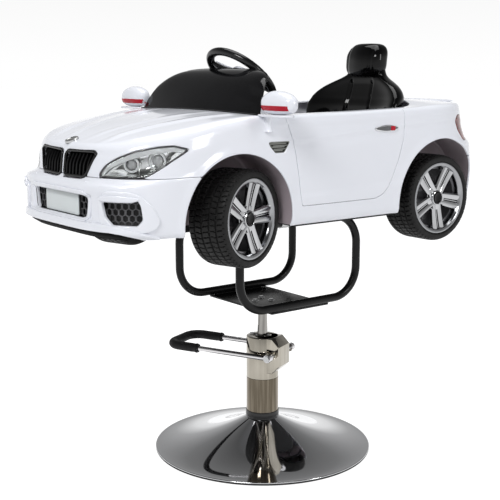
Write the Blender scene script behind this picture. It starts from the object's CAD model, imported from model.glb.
"""Looks of a children's barber chair: a ride-on style car carried by a hydraulic pump base.

Lengths are in millimetres until a mesh is placed, where they become metres. The frame is the
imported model's: origin on the floor at the pump axis, +Z up, -Y to the front of the car, and +X to
the car's left side.
"""
import logging
import math
from dataclasses import dataclass, field
from enum import Enum
from typing import Callable, Sequence

import bpy
import numpy as np
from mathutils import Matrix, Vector
from mathutils.geometry import tessellate_polygon


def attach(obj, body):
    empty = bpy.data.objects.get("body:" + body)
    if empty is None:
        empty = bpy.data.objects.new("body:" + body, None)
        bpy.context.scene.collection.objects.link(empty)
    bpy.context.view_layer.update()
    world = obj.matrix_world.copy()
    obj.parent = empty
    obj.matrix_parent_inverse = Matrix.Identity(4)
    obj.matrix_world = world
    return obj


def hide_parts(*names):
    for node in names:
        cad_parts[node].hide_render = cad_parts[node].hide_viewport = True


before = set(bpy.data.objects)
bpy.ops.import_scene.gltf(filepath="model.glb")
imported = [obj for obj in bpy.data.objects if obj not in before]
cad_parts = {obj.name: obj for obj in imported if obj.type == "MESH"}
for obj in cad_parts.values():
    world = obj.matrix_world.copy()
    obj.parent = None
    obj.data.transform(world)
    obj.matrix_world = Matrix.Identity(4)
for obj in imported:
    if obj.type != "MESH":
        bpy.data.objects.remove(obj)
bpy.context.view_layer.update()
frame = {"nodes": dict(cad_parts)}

Array = np.ndarray
MM = 0.001
TINY = 1e-9
QUARTER = math.pi / 2
LOG = logging.getLogger("barber_chair")


# Meshes


@dataclass
class Form:
    """A mesh in millimetres, with faces of four and of three corners.

    Attributes:
        points: Places of the corners, one row each.
        quads: Corner numbers of the four-sided faces.
        tris: Corner numbers of the three-sided faces.
    """

    points: Array
    quads: Array = field(default_factory=lambda: np.zeros((0, 4), int))
    tris: Array = field(default_factory=lambda: np.zeros((0, 3), int))

    def moved(self, shift: Sequence[float]) -> "Form":
        """The form, shifted."""
        return Form(self.points + np.asarray(shift, float), self.quads, self.tris)

    def turned(self, axis: str, degrees: float) -> "Form":
        """The form, turned about the axis x, y or z.

        Args:
            axis: The axis's letter.
            degrees: The angle, counter-clockwise as seen from the axis's tip.

        Returns:
            The turned form.
        """
        c, s = math.cos(math.radians(degrees)), math.sin(math.radians(degrees))
        i, j = {"x": (1, 2), "y": (2, 0), "z": (0, 1)}[axis]
        matrix = np.eye(3)
        matrix[[i, i, j, j], [i, j, i, j]] = c, -s, s, c
        return Form(self.points @ matrix.T, self.quads, self.tris)

    def standing(self) -> "Form":
        """The form whose outline was drawn in X and Y, with the outline in Y and Z."""
        return Form(self.points[:, [2, 0, 1]], self.quads, self.tris)

    def mirrored(self) -> "Form":
        """The form on the other side of the car, with its faces still pointing outwards."""
        return Form(self.points * (-1, 1, 1), self.quads[:, ::-1], self.tris[:, ::-1])

    def flipped(self) -> "Form":
        """The same points with every face turned over."""
        return Form(self.points, self.quads[:, ::-1], self.tris[:, ::-1])

    def solid(self) -> "Form":
        """The closed form with its faces outwards, so that its volume is positive."""
        t = self.triangles()
        corners = self.points[t] - self.points.mean(0)
        volume = (corners[:, 0] * np.cross(corners[:, 1], corners[:, 2])).sum()
        return self if volume > 0 else self.flipped()

    def triangles(self) -> Array:
        """All faces as triangles."""
        q = self.quads
        return np.concatenate([q[:, [0, 1, 2]], q[:, [0, 2, 3]],
                               self.tris]) if len(q) else self.tris


def joined(*forms: Form) -> Form:
    """Several forms as one."""
    starts = np.cumsum([0] + [len(f.points) for f in forms[:-1]])
    return Form(
        np.concatenate([f.points for f in forms]),
        np.concatenate([f.quads + s for f, s in zip(forms, starts)]),
        np.concatenate([f.tris + s for f, s in zip(forms, starts)]),
    )


def both(form: Form) -> Form:
    """A form and its mirror image on the other side of the car."""
    return joined(form, form.mirrored())


def circle(count: int) -> Array:
    """Angles of even steps round a circle."""
    return np.linspace(0, 2 * math.pi, count, endpoint=False)


def oval(middle: Sequence[float], half: Sequence[float], count: int) -> Array:
    """Points of an ellipse with the given half sizes."""
    a = circle(count)
    return np.c_[middle[0] + half[0] * np.cos(a), middle[1] + half[1] * np.sin(a)]


def signed_power(value: Array, power: float) -> Array:
    """|v|^n with the sign of v."""
    return np.sign(value) * np.abs(value) ** power


def round_end(share: Array, power: float) -> Array:
    """(1 - |s|^n)^(1/2): 1 over most of a width, and 0 at its ends."""
    return np.power(np.clip(1 - np.abs(share) ** power, 0, 1), 0.5)


def length_along(line: Array) -> Array:
    """Length of a polyline from its start to each of its points."""
    return np.r_[0, np.cumsum(np.linalg.norm(np.diff(line, axis=0), axis=1))]


def smooth_step(low: float, high: float, value: Array) -> Array:
    """0 below low, 1 above high, and the cubic 3t^2 - 2t^3 between them."""
    t = np.clip((np.asarray(value, float) - low) / (high - low), 0, 1)
    return t * t * (3 - 2 * t)


def hump(value: Array, width: float) -> Array:
    """The bell exp(-(v/w)^2)."""
    return np.exp(-np.square(np.asarray(value, float) / width))


def sheet(grid: Array, wrap_u: bool = False, wrap_v: bool = False) -> Form:
    """The surface over a grid of points P(u, v), whose faces point along dP/du x dP/dv.

    Args:
        grid: Points, shaped (nu, nv, 3).
        wrap_u: Whether the last row joins the first.
        wrap_v: Whether the last column joins the first.

    Returns:
        A form of quads.
    """
    nu, nv = grid.shape[:2]
    i, j = np.meshgrid(np.arange(nu if wrap_u else nu - 1), np.arange(nv if wrap_v else nv - 1),
                       indexing="ij")
    i2, j2 = (i + 1) % nu, (j + 1) % nv
    quads = np.stack([i * nv + j, i2 * nv + j, i2 * nv + j2, i * nv + j2], axis=-1).reshape(-1, 4)
    return Form(grid.reshape(-1, 3), quads)


def fan(ring: Array, flip: bool = False) -> Form:
    """A cap over a closed ring of points: triangles from the ring's middle point.

    Args:
        ring: The points.
        flip: Whether the faces are turned over.

    Returns:
        The cap.
    """
    n = len(ring)
    a = np.arange(n)
    tris = np.stack([a, (a + 1) % n, np.full(n, n)], axis=-1)
    return Form(np.vstack([ring, ring.mean(0)]), tris=tris[:, ::-1] if flip else tris)


def cap(ring: Array, facing: Sequence[float]) -> Form:
    """The flat face inside a closed ring of any outline.

    Args:
        ring: The points.
        facing: Direction that the face points to.

    Returns:
        The face, in triangles.
    """
    found = tessellate_polygon([[Vector(p) for p in ring]])
    tris = np.array(found, int).reshape(-1, 3)
    p = np.asarray(ring, float)
    n = np.cross(p[tris[:, 1]] - p[tris[:, 0]], p[tris[:, 2]] - p[tris[:, 0]])
    wrong = n @ np.asarray(facing, float) < 0
    tris[wrong] = tris[wrong][:, ::-1]
    return Form(p, tris=tris)


def filleted(corners: Sequence[Sequence[float]], radii: float | Sequence[float], steps: int = 5,
             closed: bool = True) -> Array:
    """A plane polyline whose corners are rounded by arcs.

    At a corner with turn angle a the arc of radius r starts r*tan(a/2) before it, and its points
    are swept round the arc's centre.

    Args:
        corners: Corner points.
        radii: One radius, or one for each corner.
        steps: Spans of an arc.
        closed: Whether the last corner joins the first.

    Returns:
        Points along the rounded line.
    """
    pts = np.asarray(corners, float)
    n = len(pts)
    r = np.broadcast_to(np.asarray(radii, float), (n,))
    out: list[Array] = []
    for k in range(n):
        if (not closed and k in (0, n - 1)) or r[k] <= 0:
            out.append(pts[k][None])
            continue
        a, b = pts[k - 1] - pts[k], pts[(k + 1) % n] - pts[k]
        la, lb = np.linalg.norm(a), np.linalg.norm(b)
        a, b = a / la, b / lb
        half = math.acos(float(np.clip(a @ b, -1, 1))) / 2
        if QUARTER - half < 0.01:
            out.append(pts[k][None])
            continue
        cut = min(r[k] / math.tan(half), 0.49 * la, 0.49 * lb)
        radius = cut * math.tan(half)
        middle = (a + b) / np.linalg.norm(a + b)
        centre = pts[k] + middle * radius / math.sin(half)
        p, q = pts[k] + a * cut - centre, pts[k] + b * cut - centre
        t = np.linspace(0, 1, steps + 1)[:, None]
        sweep = math.pi - 2 * half
        arc = (np.sin((1 - t) * sweep) * p + np.sin(t * sweep) * q) / math.sin(sweep)
        out.append(centre + arc)
    return np.concatenate(out)


def lathe(profile: Array, around: int = 96, closed: bool = False) -> Form:
    """The surface of revolution about Z of a line of (radius, height) points.

    Args:
        profile: The line, counter-clockwise where the radius runs to the right and height up.
        around: Steps round the axis.
        closed: Whether the line's last point joins its first.

    Returns:
        The surface.
    """
    a = np.linspace(0, 2 * math.pi, around, endpoint=False)[:, None]
    r, z = np.asarray(profile, float).T
    grid = np.stack([np.cos(a) * r, np.sin(a) * r, np.broadcast_to(z, (around, len(r)))], axis=-1)
    return sheet(grid, wrap_u=True, wrap_v=closed)


def tube(path: Array, radius: float | Array, up: Sequence[float], sides: int = 20,
         closed: bool = False,
         flat: float = 1.0) -> Form:
    """A round bar along a path: P = path + r*(cos(f)*S + sin(f)*U).

    S is the tangent crossed with up, and U is S crossed with the tangent.

    Args:
        path: Points of the centre line.
        radius: One radius, or one for each point.
        up: A direction that the path never runs along.
        sides: Sides of the bar.
        closed: Whether the path is a loop.
        flat: Thickness along U as a share of the thickness along S.

    Returns:
        The bar, with capped ends where it is open.
    """
    path = np.asarray(path, float)
    if closed:
        tangent = np.roll(path, -1, 0) - np.roll(path, 1, 0)
    else:
        tangent = np.gradient(path, axis=0)
    tangent /= np.linalg.norm(tangent, axis=1)[:, None]
    s = np.cross(tangent, np.asarray(up, float))
    s /= np.linalg.norm(s, axis=1)[:, None]
    u = np.cross(s, tangent)
    f = np.linspace(0, 2 * math.pi, sides, endpoint=False)
    r = np.broadcast_to(np.asarray(radius, float), (len(path),))[:, None, None]
    along_s, along_u = (part[None, :, None] for part in (np.cos(f), flat * np.sin(f)))
    grid = path[:, None] + r * (along_s * s[:, None] + along_u * u[:, None])
    body = sheet(grid, wrap_u=closed, wrap_v=True)
    if closed:
        return body
    return joined(body, fan(grid[0]), fan(grid[-1], flip=True))


def slab(outline: Array, low: float, high: float, round_low: float = 0.0, round_high: float = 0.0,
         steps: int = 3) -> Form:
    """A plate with a closed plane outline in X and Y, its edges rounded by insets of the outline.

    Each ring is the outline moved inwards by r*(1 - cos a) at a height r*(1 - sin a) from the face.

    Args:
        outline: Points, counter-clockwise.
        low: Height of the lower face.
        high: Height of the upper face.
        round_low: Edge radius below.
        round_high: Edge radius above.
        steps: Spans of an edge.

    Returns:
        The plate.
    """
    rings: list[Array] = []
    inward = outline_normals(outline)
    for height, radius, up in ((low, round_low, 1), (high, round_high, -1)):
        turns = np.linspace(0, QUARTER, steps + 1) if radius > 0 else np.array([QUARTER])
        for a in turns[::up]:
            ring = outline + inward * radius * (1 - math.sin(a))
            rings.append(np.c_[ring, np.full(len(ring), height + up * radius * (1 - math.cos(a)))])
    grid = np.stack(rings, axis=1)
    return joined(sheet(grid, wrap_u=True), cap(grid[:, 0], (0, 0, -1)),
                  cap(grid[:, -1], (0, 0, 1)))


def unit(rows: Array) -> Array:
    """Rows of vectors, each at length 1."""
    return rows / np.maximum(np.linalg.norm(rows, axis=1)[:, None], TINY)


def outline_normals(outline: Array) -> Array:
    """Inward normals of a counter-clockwise outline, longer at corners for parallel insets."""
    after = unit(np.roll(outline, -1, 0) - outline)
    before = unit(outline - np.roll(outline, 1, 0))
    n = unit(np.c_[-(after + before)[:, 1], (after + before)[:, 0]])
    lean = n[:, 0] * -after[:, 1] + n[:, 1] * after[:, 0]
    return n / np.maximum(lean, 0.5)[:, None]


def rounded_box(size: Sequence[float], radius: float, steps: int = 4) -> Form:
    """A box about the origin with round edges and corners.

    A sphere's points cos(b)*cos(a), cos(b)*sin(a), sin(b), times the radius, are pushed out by the
    box's inner half sizes with the signs of their own coordinates.

    Args:
        size: Length, width and height.
        radius: Radius of the edges.
        steps: Spans of an edge.

    Returns:
        The box.
    """
    half = np.asarray(size, float) / 2 - radius
    a = np.concatenate([k * QUARTER + np.linspace(0, QUARTER, steps + 1) for k in range(4)])
    ax = np.array([1, -1, -1, 1]).repeat(steps + 1)
    ay = np.array([1, 1, -1, -1]).repeat(steps + 1)
    b = np.concatenate([np.linspace(-QUARTER, 0, steps + 1), np.linspace(0, QUARTER, steps + 1)])
    az = np.array([-1, 1]).repeat(steps + 1)
    x = radius * np.cos(b)[None] * np.cos(a)[:, None] + half[0] * ax[:, None]
    y = radius * np.cos(b)[None] * np.sin(a)[:, None] + half[1] * ay[:, None]
    z = np.broadcast_to(radius * np.sin(b) + half[2] * az, x.shape)
    grid = np.stack([x, y, z], axis=-1)
    return joined(sheet(grid, wrap_u=True), fan(grid[:, 0], flip=True), fan(grid[:, -1]))


def spread(xs: Sequence[float], ys: Sequence[float], at: Array) -> Array:
    """Smooth interpolation that never overshoots: a monotone cubic through the knots.

    The slope at a knot is the weighted harmonic mean of those beside it, and 0 where they turn.

    Args:
        xs: Places of the knots.
        ys: A value, or a row of values, for each knot.
        at: Places to find.

    Returns:
        A value or a row for each place.
    """
    x, y = np.asarray(xs, float), np.asarray(ys, float)
    h = np.diff(x)
    d = np.diff(y, axis=0) / (h if y.ndim == 1 else h[:, None])
    m = np.zeros_like(y)
    w1, w2 = 2 * h[1:] + h[:-1], h[1:] + 2 * h[:-1]
    if y.ndim > 1:
        w1, w2 = w1[:, None], w2[:, None]
    same = d[:-1] * d[1:] > 0
    safe = np.where(same, w1 / np.where(d[:-1] == 0, 1,
                                        d[:-1]) + w2 / np.where(d[1:] == 0, 1, d[1:]), 1)
    m[1:-1] = np.where(same, (w1 + w2) / safe, 0)
    m[0], m[-1] = d[0], d[-1]
    at = np.clip(np.asarray(at, float), x[0], x[-1])
    k = np.clip(np.searchsorted(x, at, side="right") - 1, 0, len(x) - 2)
    t = (at - x[k]) / h[k]
    hk = h[k]
    if y.ndim > 1:
        t, hk = t[..., None], hk[..., None]
    return (y[k] * (1 + 2 * t) * (1 - t) ** 2 + m[k] * hk * t * (1 - t) ** 2
            + y[k + 1] * t * t * (3 - 2 * t) + m[k + 1] * hk * t * t * (t - 1))


def polygon_gap(points: Array, polygon: Array) -> Array:
    """Signed distance from plane points to a closed polygon, negative inside.

    It is the least distance to an edge, with the sign of an even-odd crossing count.

    Args:
        points: The points, one row each.
        polygon: The polygon's corners.

    Returns:
        A distance for each point.
    """
    best = np.full(len(points), 1e18)
    inside = np.zeros(len(points), bool)
    for a, b in zip(polygon, np.roll(polygon, -1, 0)):
        e, w = b - a, points - a
        t = np.clip(w @ e / max(e @ e, 1e-12), 0, 1)
        best = np.minimum(best, np.square(w - t[:, None] * e).sum(1))
        crosses = (a[1] > points[:, 1]) != (b[1] > points[:, 1])
        span = (b[1] - a[1]) or 1e-12
        inside ^= crosses & (points[:, 0] < a[0] + (points[:, 1] - a[1]) / span * (b[0] - a[0]))
    return np.where(inside, -1, 1) * np.sqrt(best)


@dataclass
class Skin:
    """A surface with its normals, which can be trimmed by distances.

    Attributes:
        points: Places of the corners.
        normals: Outward unit normals at the corners.
        tris: Corner numbers of the triangles.
    """

    points: Array
    normals: Array
    tris: Array

    def trimmed(self, gap: Array) -> "Skin":
        """The part where gap is negative.

        A triangle that the line gap = 0 crosses is cut along it, at the places that the gaps of
        its corners give by straight interpolation.

        Args:
            gap: A distance for each corner.

        Returns:
            The part.
        """
        inside = gap < 0
        count = inside[self.tris].sum(1)
        keep = [self.tris[count == 3]]
        points, normals = [self.points], [self.normals]
        start = len(self.points)
        cut = self.tris[(count == 1) | (count == 2)]
        lone_in = inside[cut].sum(1) == 1
        lone = np.where(lone_in, inside[cut].argmax(1), (~inside[cut]).argmax(1))
        rows = np.arange(len(cut))
        a, b, c = cut[rows, lone], cut[rows, (lone + 1) % 3], cut[rows, (lone + 2) % 3]
        edges = np.sort(np.concatenate([np.c_[a, b], np.c_[a, c]]), axis=1)
        unique, where = np.unique(edges, axis=0, return_inverse=True)
        where = where.reshape(-1)
        if len(unique):
            g0, g1 = gap[unique[:, 0]], gap[unique[:, 1]]
            t = np.clip(g0 / (g0 - g1), 0.02, 0.98)[:, None]
            points.append(self.points[unique[:, 0]] * (1 - t) + self.points[unique[:, 1]] * t)
            n = self.normals[unique[:, 0]] * (1 - t) + self.normals[unique[:, 1]] * t
            normals.append(n / np.linalg.norm(n, axis=1)[:, None])
            ab, ac = where[:len(a)] + start, where[len(a):] + start
            keep.append(np.c_[a, ab, ac][lone_in])
            keep.append(np.c_[ab, b, c][~lone_in])
            keep.append(np.c_[ab, c, ac][~lone_in])
        tris = np.concatenate(keep)
        used, packed = np.unique(tris, return_inverse=True)
        return Skin(np.concatenate(points)[used], np.concatenate(normals)[used],
                    packed.reshape(-1, 3))

    def moved(self, shift: Array) -> "Skin":
        """The surface with its corners moved by a vector each, and its normals kept."""
        return Skin(self.points + shift, self.normals, self.tris)

    def flipped(self) -> "Skin":
        """The surface turned over."""
        return Skin(self.points, -self.normals, self.tris[:, ::-1])

    def rim(self) -> tuple[Array, Array]:
        """The surface's own edge.

        Returns:
            Edges that only one triangle has, in that triangle's direction, and for each corner
            the direction in the surface that points out over the edge.
        """
        t = self.tris
        e = np.concatenate([t[:, [0, 1]], t[:, [1, 2]], t[:, [2, 0]]])
        n = len(self.points)
        key, back = e[:, 0] * n + e[:, 1], e[:, 1] * n + e[:, 0]
        edges = e[~np.isin(key, back)]
        d = self.points[edges[:, 1]] - self.points[edges[:, 0]]
        length = np.linalg.norm(d, axis=1)
        out = np.zeros((n, 3))
        side = np.cross(d, self.normals[edges[:, 0]] + self.normals[edges[:, 1]])
        side = unit(side)
        side[length < 1e-4] = 0
        np.add.at(out, edges[:, 0], side)
        np.add.at(out, edges[:, 1], side)
        out -= self.normals * (out * self.normals).sum(1)[:, None]
        return edges, unit(out)

    def panel(self, wall: float, edge: float = 1.2, steps: int = 3) -> Form:
        """A closed moulding: the surface, a rounded edge, a wall and an inner face.

        The edge's rings lie at out*r*sin(a) along the surface and r*(1 - cos a) below it.

        Args:
            wall: Thickness of the moulding.
            edge: Radius of its outer edge.
            steps: Spans of the edge.

        Returns:
            The moulding.
        """
        n = len(self.points)
        edges, out = self.rim()
        parts = [self.points]
        for a in np.linspace(0, QUARTER, steps + 1)[1:]:
            below = self.normals * edge * (1 - math.cos(a))
            parts.append(self.points + out * edge * math.sin(a) - below)
        parts += [self.points + out * edge - self.normals * wall, self.points - self.normals * wall]
        last = len(parts) - 1
        start, end = edges.T
        quads = [np.c_[end + k * n, start + k * n, start + (k + 1) * n,
                       end + (k + 1) * n] for k in range(last)]
        tris = np.concatenate([self.tris, self.tris[:, ::-1] + last * n])
        return packed(Form(np.concatenate(parts), np.concatenate(quads), tris))


def packed(form: Form) -> Form:
    """The form without points that no face uses."""
    used = np.unique(np.concatenate([form.quads.reshape(-1), form.tris.reshape(-1)]))
    new = np.zeros(len(form.points), int)
    new[used] = np.arange(len(used))
    return Form(form.points[used], new[form.quads], new[form.tris])


def skin_of(form: Form) -> Skin:
    """A form as a skin, with normals from its triangles, weighted by their areas."""
    tris = form.triangles()
    p = form.points
    n = np.cross(p[tris[:, 1]] - p[tris[:, 0]], p[tris[:, 2]] - p[tris[:, 0]])
    keep = np.linalg.norm(n, axis=1) > 1e-9
    tris, n = tris[keep], n[keep]
    total = np.zeros_like(p)
    for k in range(3):
        np.add.at(total, tris[:, k], n)
    return Skin(p, total / np.maximum(np.linalg.norm(total, axis=1)[:, None], 1e-12), tris)


def welded(form: Form, reach: float = 0.001) -> Form:
    """The form with corners that share a place made one, and faces that vanish by it left out.

    Args:
        form: The form.
        reach: Cell in which corners count as one.

    Returns:
        The welded form.
    """
    _, first, back = np.unique(np.round(form.points / reach).astype(np.int64), axis=0,
                               return_index=True, return_inverse=True)
    back = back.reshape(-1)
    quads, tris = back[form.quads], back[form.tris]
    flat = quads == np.roll(quads, -1, axis=1)
    once = flat.sum(1) == 1
    made = [quads[flat[:, k] & once][:, [(k + 1) % 4, (k + 2) % 4, (k + 3) % 4]] for k in range(4)]
    whole = np.all(tris != np.roll(tris, -1, axis=1), axis=1)
    return Form(form.points[first], quads[~flat.any(1)], np.concatenate([tris[whole], *made]))


# Finishes


class Value:
    """A shader socket that takes Python's operators: each one adds a Math node."""

    def __init__(self, graph: "Graph", socket: bpy.types.NodeSocket) -> None:
        """Keeps the socket and the graph that it belongs to."""
        self.graph = graph
        self.socket = socket

    def _with(self, operation: str, first: "Value | float", second: "Value | float") -> "Value":
        """The Math node of two values."""
        return self.graph.node("ShaderNodeMath", {0: first, 1: second}, operation=operation)

    def __add__(self, other: "Value | float") -> "Value":
        """self + other."""
        return self._with("ADD", self, other)

    def __radd__(self, other: float) -> "Value":
        """other + self."""
        return self._with("ADD", other, self)

    def __mul__(self, other: "Value | float") -> "Value":
        """self * other."""
        return self._with("MULTIPLY", self, other)

    def __rmul__(self, other: float) -> "Value":
        """other * self."""
        return self._with("MULTIPLY", other, self)

    def maximum(self, other: "Value | float") -> "Value":
        """The greater of both."""
        return self._with("MAXIMUM", self, other)


class Graph:
    """The node tree of one material or of the world."""

    def __init__(self, tree: bpy.types.NodeTree) -> None:
        """Empties the tree."""
        self.tree = tree
        tree.nodes.clear()
        self._places: Value | None = None

    def node(self, kind: str, inputs: dict[int | str, object] | None = None, out: int | str = 0,
             **settings: object) -> Value:
        """Adds a node.

        Args:
            kind: The node's type.
            inputs: A value or a Value for each socket that is named or numbered.
            out: The output that is returned.
            **settings: The node's own settings, which are set first.

        Returns:
            The output socket.
        """
        made = self.tree.nodes.new(kind)
        for key, value in settings.items():
            setattr(made, key, value)
        for key, value in (inputs or {}).items():
            if isinstance(value, Value):
                self.tree.links.new(value.socket, made.inputs[key])
            else:
                made.inputs[key].default_value = value
        return Value(self, made.outputs[out])

    def places(self) -> Value:
        """The object coordinates of the shaded point."""
        if self._places is None:
            self._places = self.node("ShaderNodeTexCoord", out="Object")
        return self._places

    def noise(self, scale: float, detail: float = 3, stretch: Sequence[float] = (1, 1, 1),
              rough: float = 0.55) -> Value:
        """Noise between 0 and 1 at so many waves a metre, stretched by a Mapping node."""
        at = self.places()
        if tuple(stretch) != (1, 1, 1):
            at = self.node("ShaderNodeMapping", {"Vector": at, "Scale": stretch})
        return self.node("ShaderNodeTexNoise", {"Vector": at, "Scale": scale, "Detail": detail,
                                                "Roughness": rough}, "Fac")

    def ramp(self, value: Value, stops: Sequence[tuple[float, Sequence[float]]]) -> Value:
        """Colours along a value."""
        made = self.node("ShaderNodeValToRGB", {0: value}, "Color")
        elements = made.socket.node.color_ramp.elements
        while len(elements) < len(stops):
            elements.new(0.5)
        for element, (at, colour) in zip(elements, stops):
            element.position, element.color = at, rgba(colour)
        return made

    def levels(self, value: Value, low: float, high: float, to_low: float = 0,
               to_high: float = 1) -> Value:
        """A value, stretched from one range to another and kept inside it."""
        return self.node("ShaderNodeMapRange", {0: value, 1: low, 2: high, 3: to_low, 4: to_high})

    def blend(self, share: Value, first: object, second: object) -> Value:
        """The mix of two colours."""
        return self.node("ShaderNodeMix", {0: share, 6: first, 7: second}, 2, data_type="RGBA")

    def bump(self, height: Value, distance: float, strength: float = 1.0) -> Value:
        """Normals of a height that is given as a share of distance, in metres."""
        return self.node("ShaderNodeBump", {"Height": height, "Distance": distance,
                                            "Strength": strength})

    def axis(self, index: int, of: Value | None = None) -> Value:
        """One coordinate, of the object where no other is given."""
        return self.node("ShaderNodeSeparateXYZ", {0: of or self.places()}, index)

    def seen(self) -> Value:
        """1 where a ray comes from the camera, a polished surface or clear plastic."""
        camera = self.node("ShaderNodeLightPath", out="Is Camera Ray")
        outputs = camera.socket.node.outputs
        names = ("Is Glossy Ray", "Is Transmission Ray")
        glossy, clear = (Value(self, outputs[name]) for name in names)
        return camera.maximum(glossy).maximum(clear)

    def shader(self, inputs: dict[str, object]) -> Value:
        """The Principled shader."""
        return self.node("ShaderNodeBsdfPrincipled", inputs)

    def finish(self, surface: Value, kind: str = "ShaderNodeOutputMaterial") -> None:
        """Connects the output."""
        out = self.tree.nodes.new(kind)
        self.tree.links.new(surface.socket, out.inputs["Surface"])


def rgba(colour: Sequence[float]) -> tuple[float, ...]:
    """A colour with full alpha."""
    return (*colour[:3], 1.0)


@dataclass(frozen=True)
class Finish:
    """A finish of one material: what all of them share.

    Attributes:
        name: The material's name.
        colour: Its colour.
        of_slot: The record's slot that it dresses, where that has another name.
    """

    name: str
    colour: tuple[float, float, float]
    of_slot: str = field(default="", kw_only=True)

    @property
    def slot(self) -> str:
        """The record's slot that it dresses."""
        return self.of_slot or self.name

    def dress(self, g: Graph) -> Value:
        """The shader, which each kind of finish makes."""
        raise NotImplementedError

    def material(self) -> bpy.types.Material:
        """The material, made once."""
        found = bpy.data.materials.get(f"{self.name}_look")
        if found is None:
            found = bpy.data.materials.new(f"{self.name}_look")
            found.use_nodes = True
            g = Graph(found.node_tree)
            g.finish(self.dress(g))
            found.diffuse_color = rgba(self.colour)
        return found


@dataclass(frozen=True)
class Moulded(Finish):
    """Moulded or lacquered plastic, gloss to matt, with faint clouding and a fine grain."""

    shade: float = 0.96
    rough: tuple[float, float] = (0.10, 0.16)
    grain: float = 900.0
    grain_depth: float = 0.00001
    coat: float = 0.0
    wave: float = 0.00004
    specular: float = 0.5

    def dress(self, g: Graph) -> Value:
        """Cloudy colour, uneven gloss, fine grain and the slow waves of a moulding."""
        cloud = g.noise(7.0, 4)
        dark = tuple(c * self.shade for c in self.colour)
        scuffs = g.levels(g.noise(60.0, 6, rough=0.7), 0.35, 0.75)
        height = g.noise(self.grain, 2) * 0.5 + g.noise(9.0,
                                                        1) * (0.5 * self.wave / self.grain_depth)
        return g.shader({
            "Base Color": g.ramp(cloud, [(0.3, dark), (0.7, self.colour)]),
            "Roughness": g.levels(scuffs * 0.6 + cloud * 0.4, 0.0, 1.0, *self.rough),
            "Coat Weight": self.coat, "Coat Roughness": 0.04, "Specular IOR Level": self.specular,
            "Normal": g.bump(height, self.grain_depth * 2)})


@dataclass(frozen=True)
class Metal(Finish):
    """Plated, brushed or painted metal with smears, fine scratches and a hint of tarnish."""

    rough: tuple[float, float] = (0.03, 0.09)
    tarnish: tuple[float, float, float] = (0.50, 0.49, 0.47)
    amount: float = 0.25
    streaks: float = 0.0

    def dress(self, g: Graph) -> Value:
        """Metal whose smears and upright streaks change both its tone and its gloss."""
        smear = g.levels(g.noise(14.0, 6, (1, 1, 0.45), 0.62), 0.38, 0.72)
        fleck = g.levels(g.noise(240.0, 3), 0.62, 0.74)
        share = (smear * 0.7 + fleck * 0.3) * self.amount
        if self.streaks:
            streak = g.levels(g.noise(70.0, 4, (1, 1, 0.03), 0.6), 0.40, 0.62)
            share = share * (1 - self.streaks) + streak * self.streaks
        return g.shader({
            "Base Color": g.blend(share, rgba(self.colour), rgba(self.tarnish)),
            "Metallic": 1.0,
            "Roughness": g.levels(smear * 0.75 + fleck * 0.25, 0, 1, *self.rough)})


@dataclass(frozen=True)
class Rubber(Finish):
    """Tyre or foot rubber: matt, dusty in its hollows, with a fine grain."""

    dust: tuple[float, float, float] = (0.06, 0.058, 0.055)

    def dress(self, g: Graph) -> Value:
        """Dark rubber with a thin dust."""
        dust = g.levels(g.noise(26.0, 6, rough=0.68), 0.42, 0.75)
        return g.shader({
            "Base Color": g.blend(dust * 0.6, rgba(self.colour), rgba(self.dust)),
            "Roughness": g.levels(dust, 0, 1, 0.52, 0.78),
            "Specular IOR Level": 0.22,
            "Normal": g.bump(g.noise(700.0, 3), 0.00006)})


@dataclass(frozen=True)
class Enamel(Finish):
    """Black paint on steel, worn a little lighter where hands and feet rub it."""

    def dress(self, g: Graph) -> Value:
        """Semi-gloss paint with orange peel and pale rub marks."""
        rub = g.levels(g.noise(38.0, 7, rough=0.72), 0.66, 0.84)
        return g.shader({
            "Base Color": g.blend(rub * 0.25, rgba(self.colour), (0.08, 0.08, 0.08, 1)),
            "Roughness": g.levels(g.noise(18.0, 4), 0.3, 0.7, 0.22, 0.34),
            "Specular IOR Level": 0.17,
            "Normal": g.bump(g.noise(260.0, 2), 0.00003)})


@dataclass(frozen=True)
class Clear(Finish):
    """Clear lamp plastic."""

    depth: float = 0.00003

    def dress(self, g: Graph) -> Value:
        """Nearly smooth, water-clear plastic with a faint ripple."""
        return g.shader({
            "Base Color": rgba(self.colour), "IOR": 1.46, "Transmission Weight": 1.0,
            "Roughness": g.levels(g.noise(30.0, 4), 0.3, 0.7, 0.01, 0.05),
            "Normal": g.bump(g.noise(70.0, 2), self.depth)})


@dataclass(frozen=True)
class Smoked(Finish):
    """Smoked windscreen plastic: gloss, dark, with something to see through it near its ends."""

    cover: tuple[float, float] = (0.94, 0.996)

    def dress(self, g: Graph) -> Value:
        """Dark gloss, thinner towards the two ends, with a denser band along the top edge."""
        x = g.node("ShaderNodeMath", {0: g.axis(0)}, operation="ABSOLUTE")
        ends = g.levels(x, 0.05, 0.24, self.cover[1], self.cover[0])
        band = g.levels(g.axis(2), 1.004, 1.012, 0.0, 1.0)
        haze = g.noise(12.0, 4)
        return g.shader({
            "Base Color": g.ramp(haze, [(0.3, self.colour),
                                        (0.7, tuple(c * 1.5 for c in self.colour))]),
            "Roughness": g.levels(haze, 0.3, 0.7, 0.03, 0.08),
            "Alpha": ends + band * 0.06, "Specular IOR Level": 0.2,
            "Normal": g.bump(g.noise(6.0, 1), 0.0002)})


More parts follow.
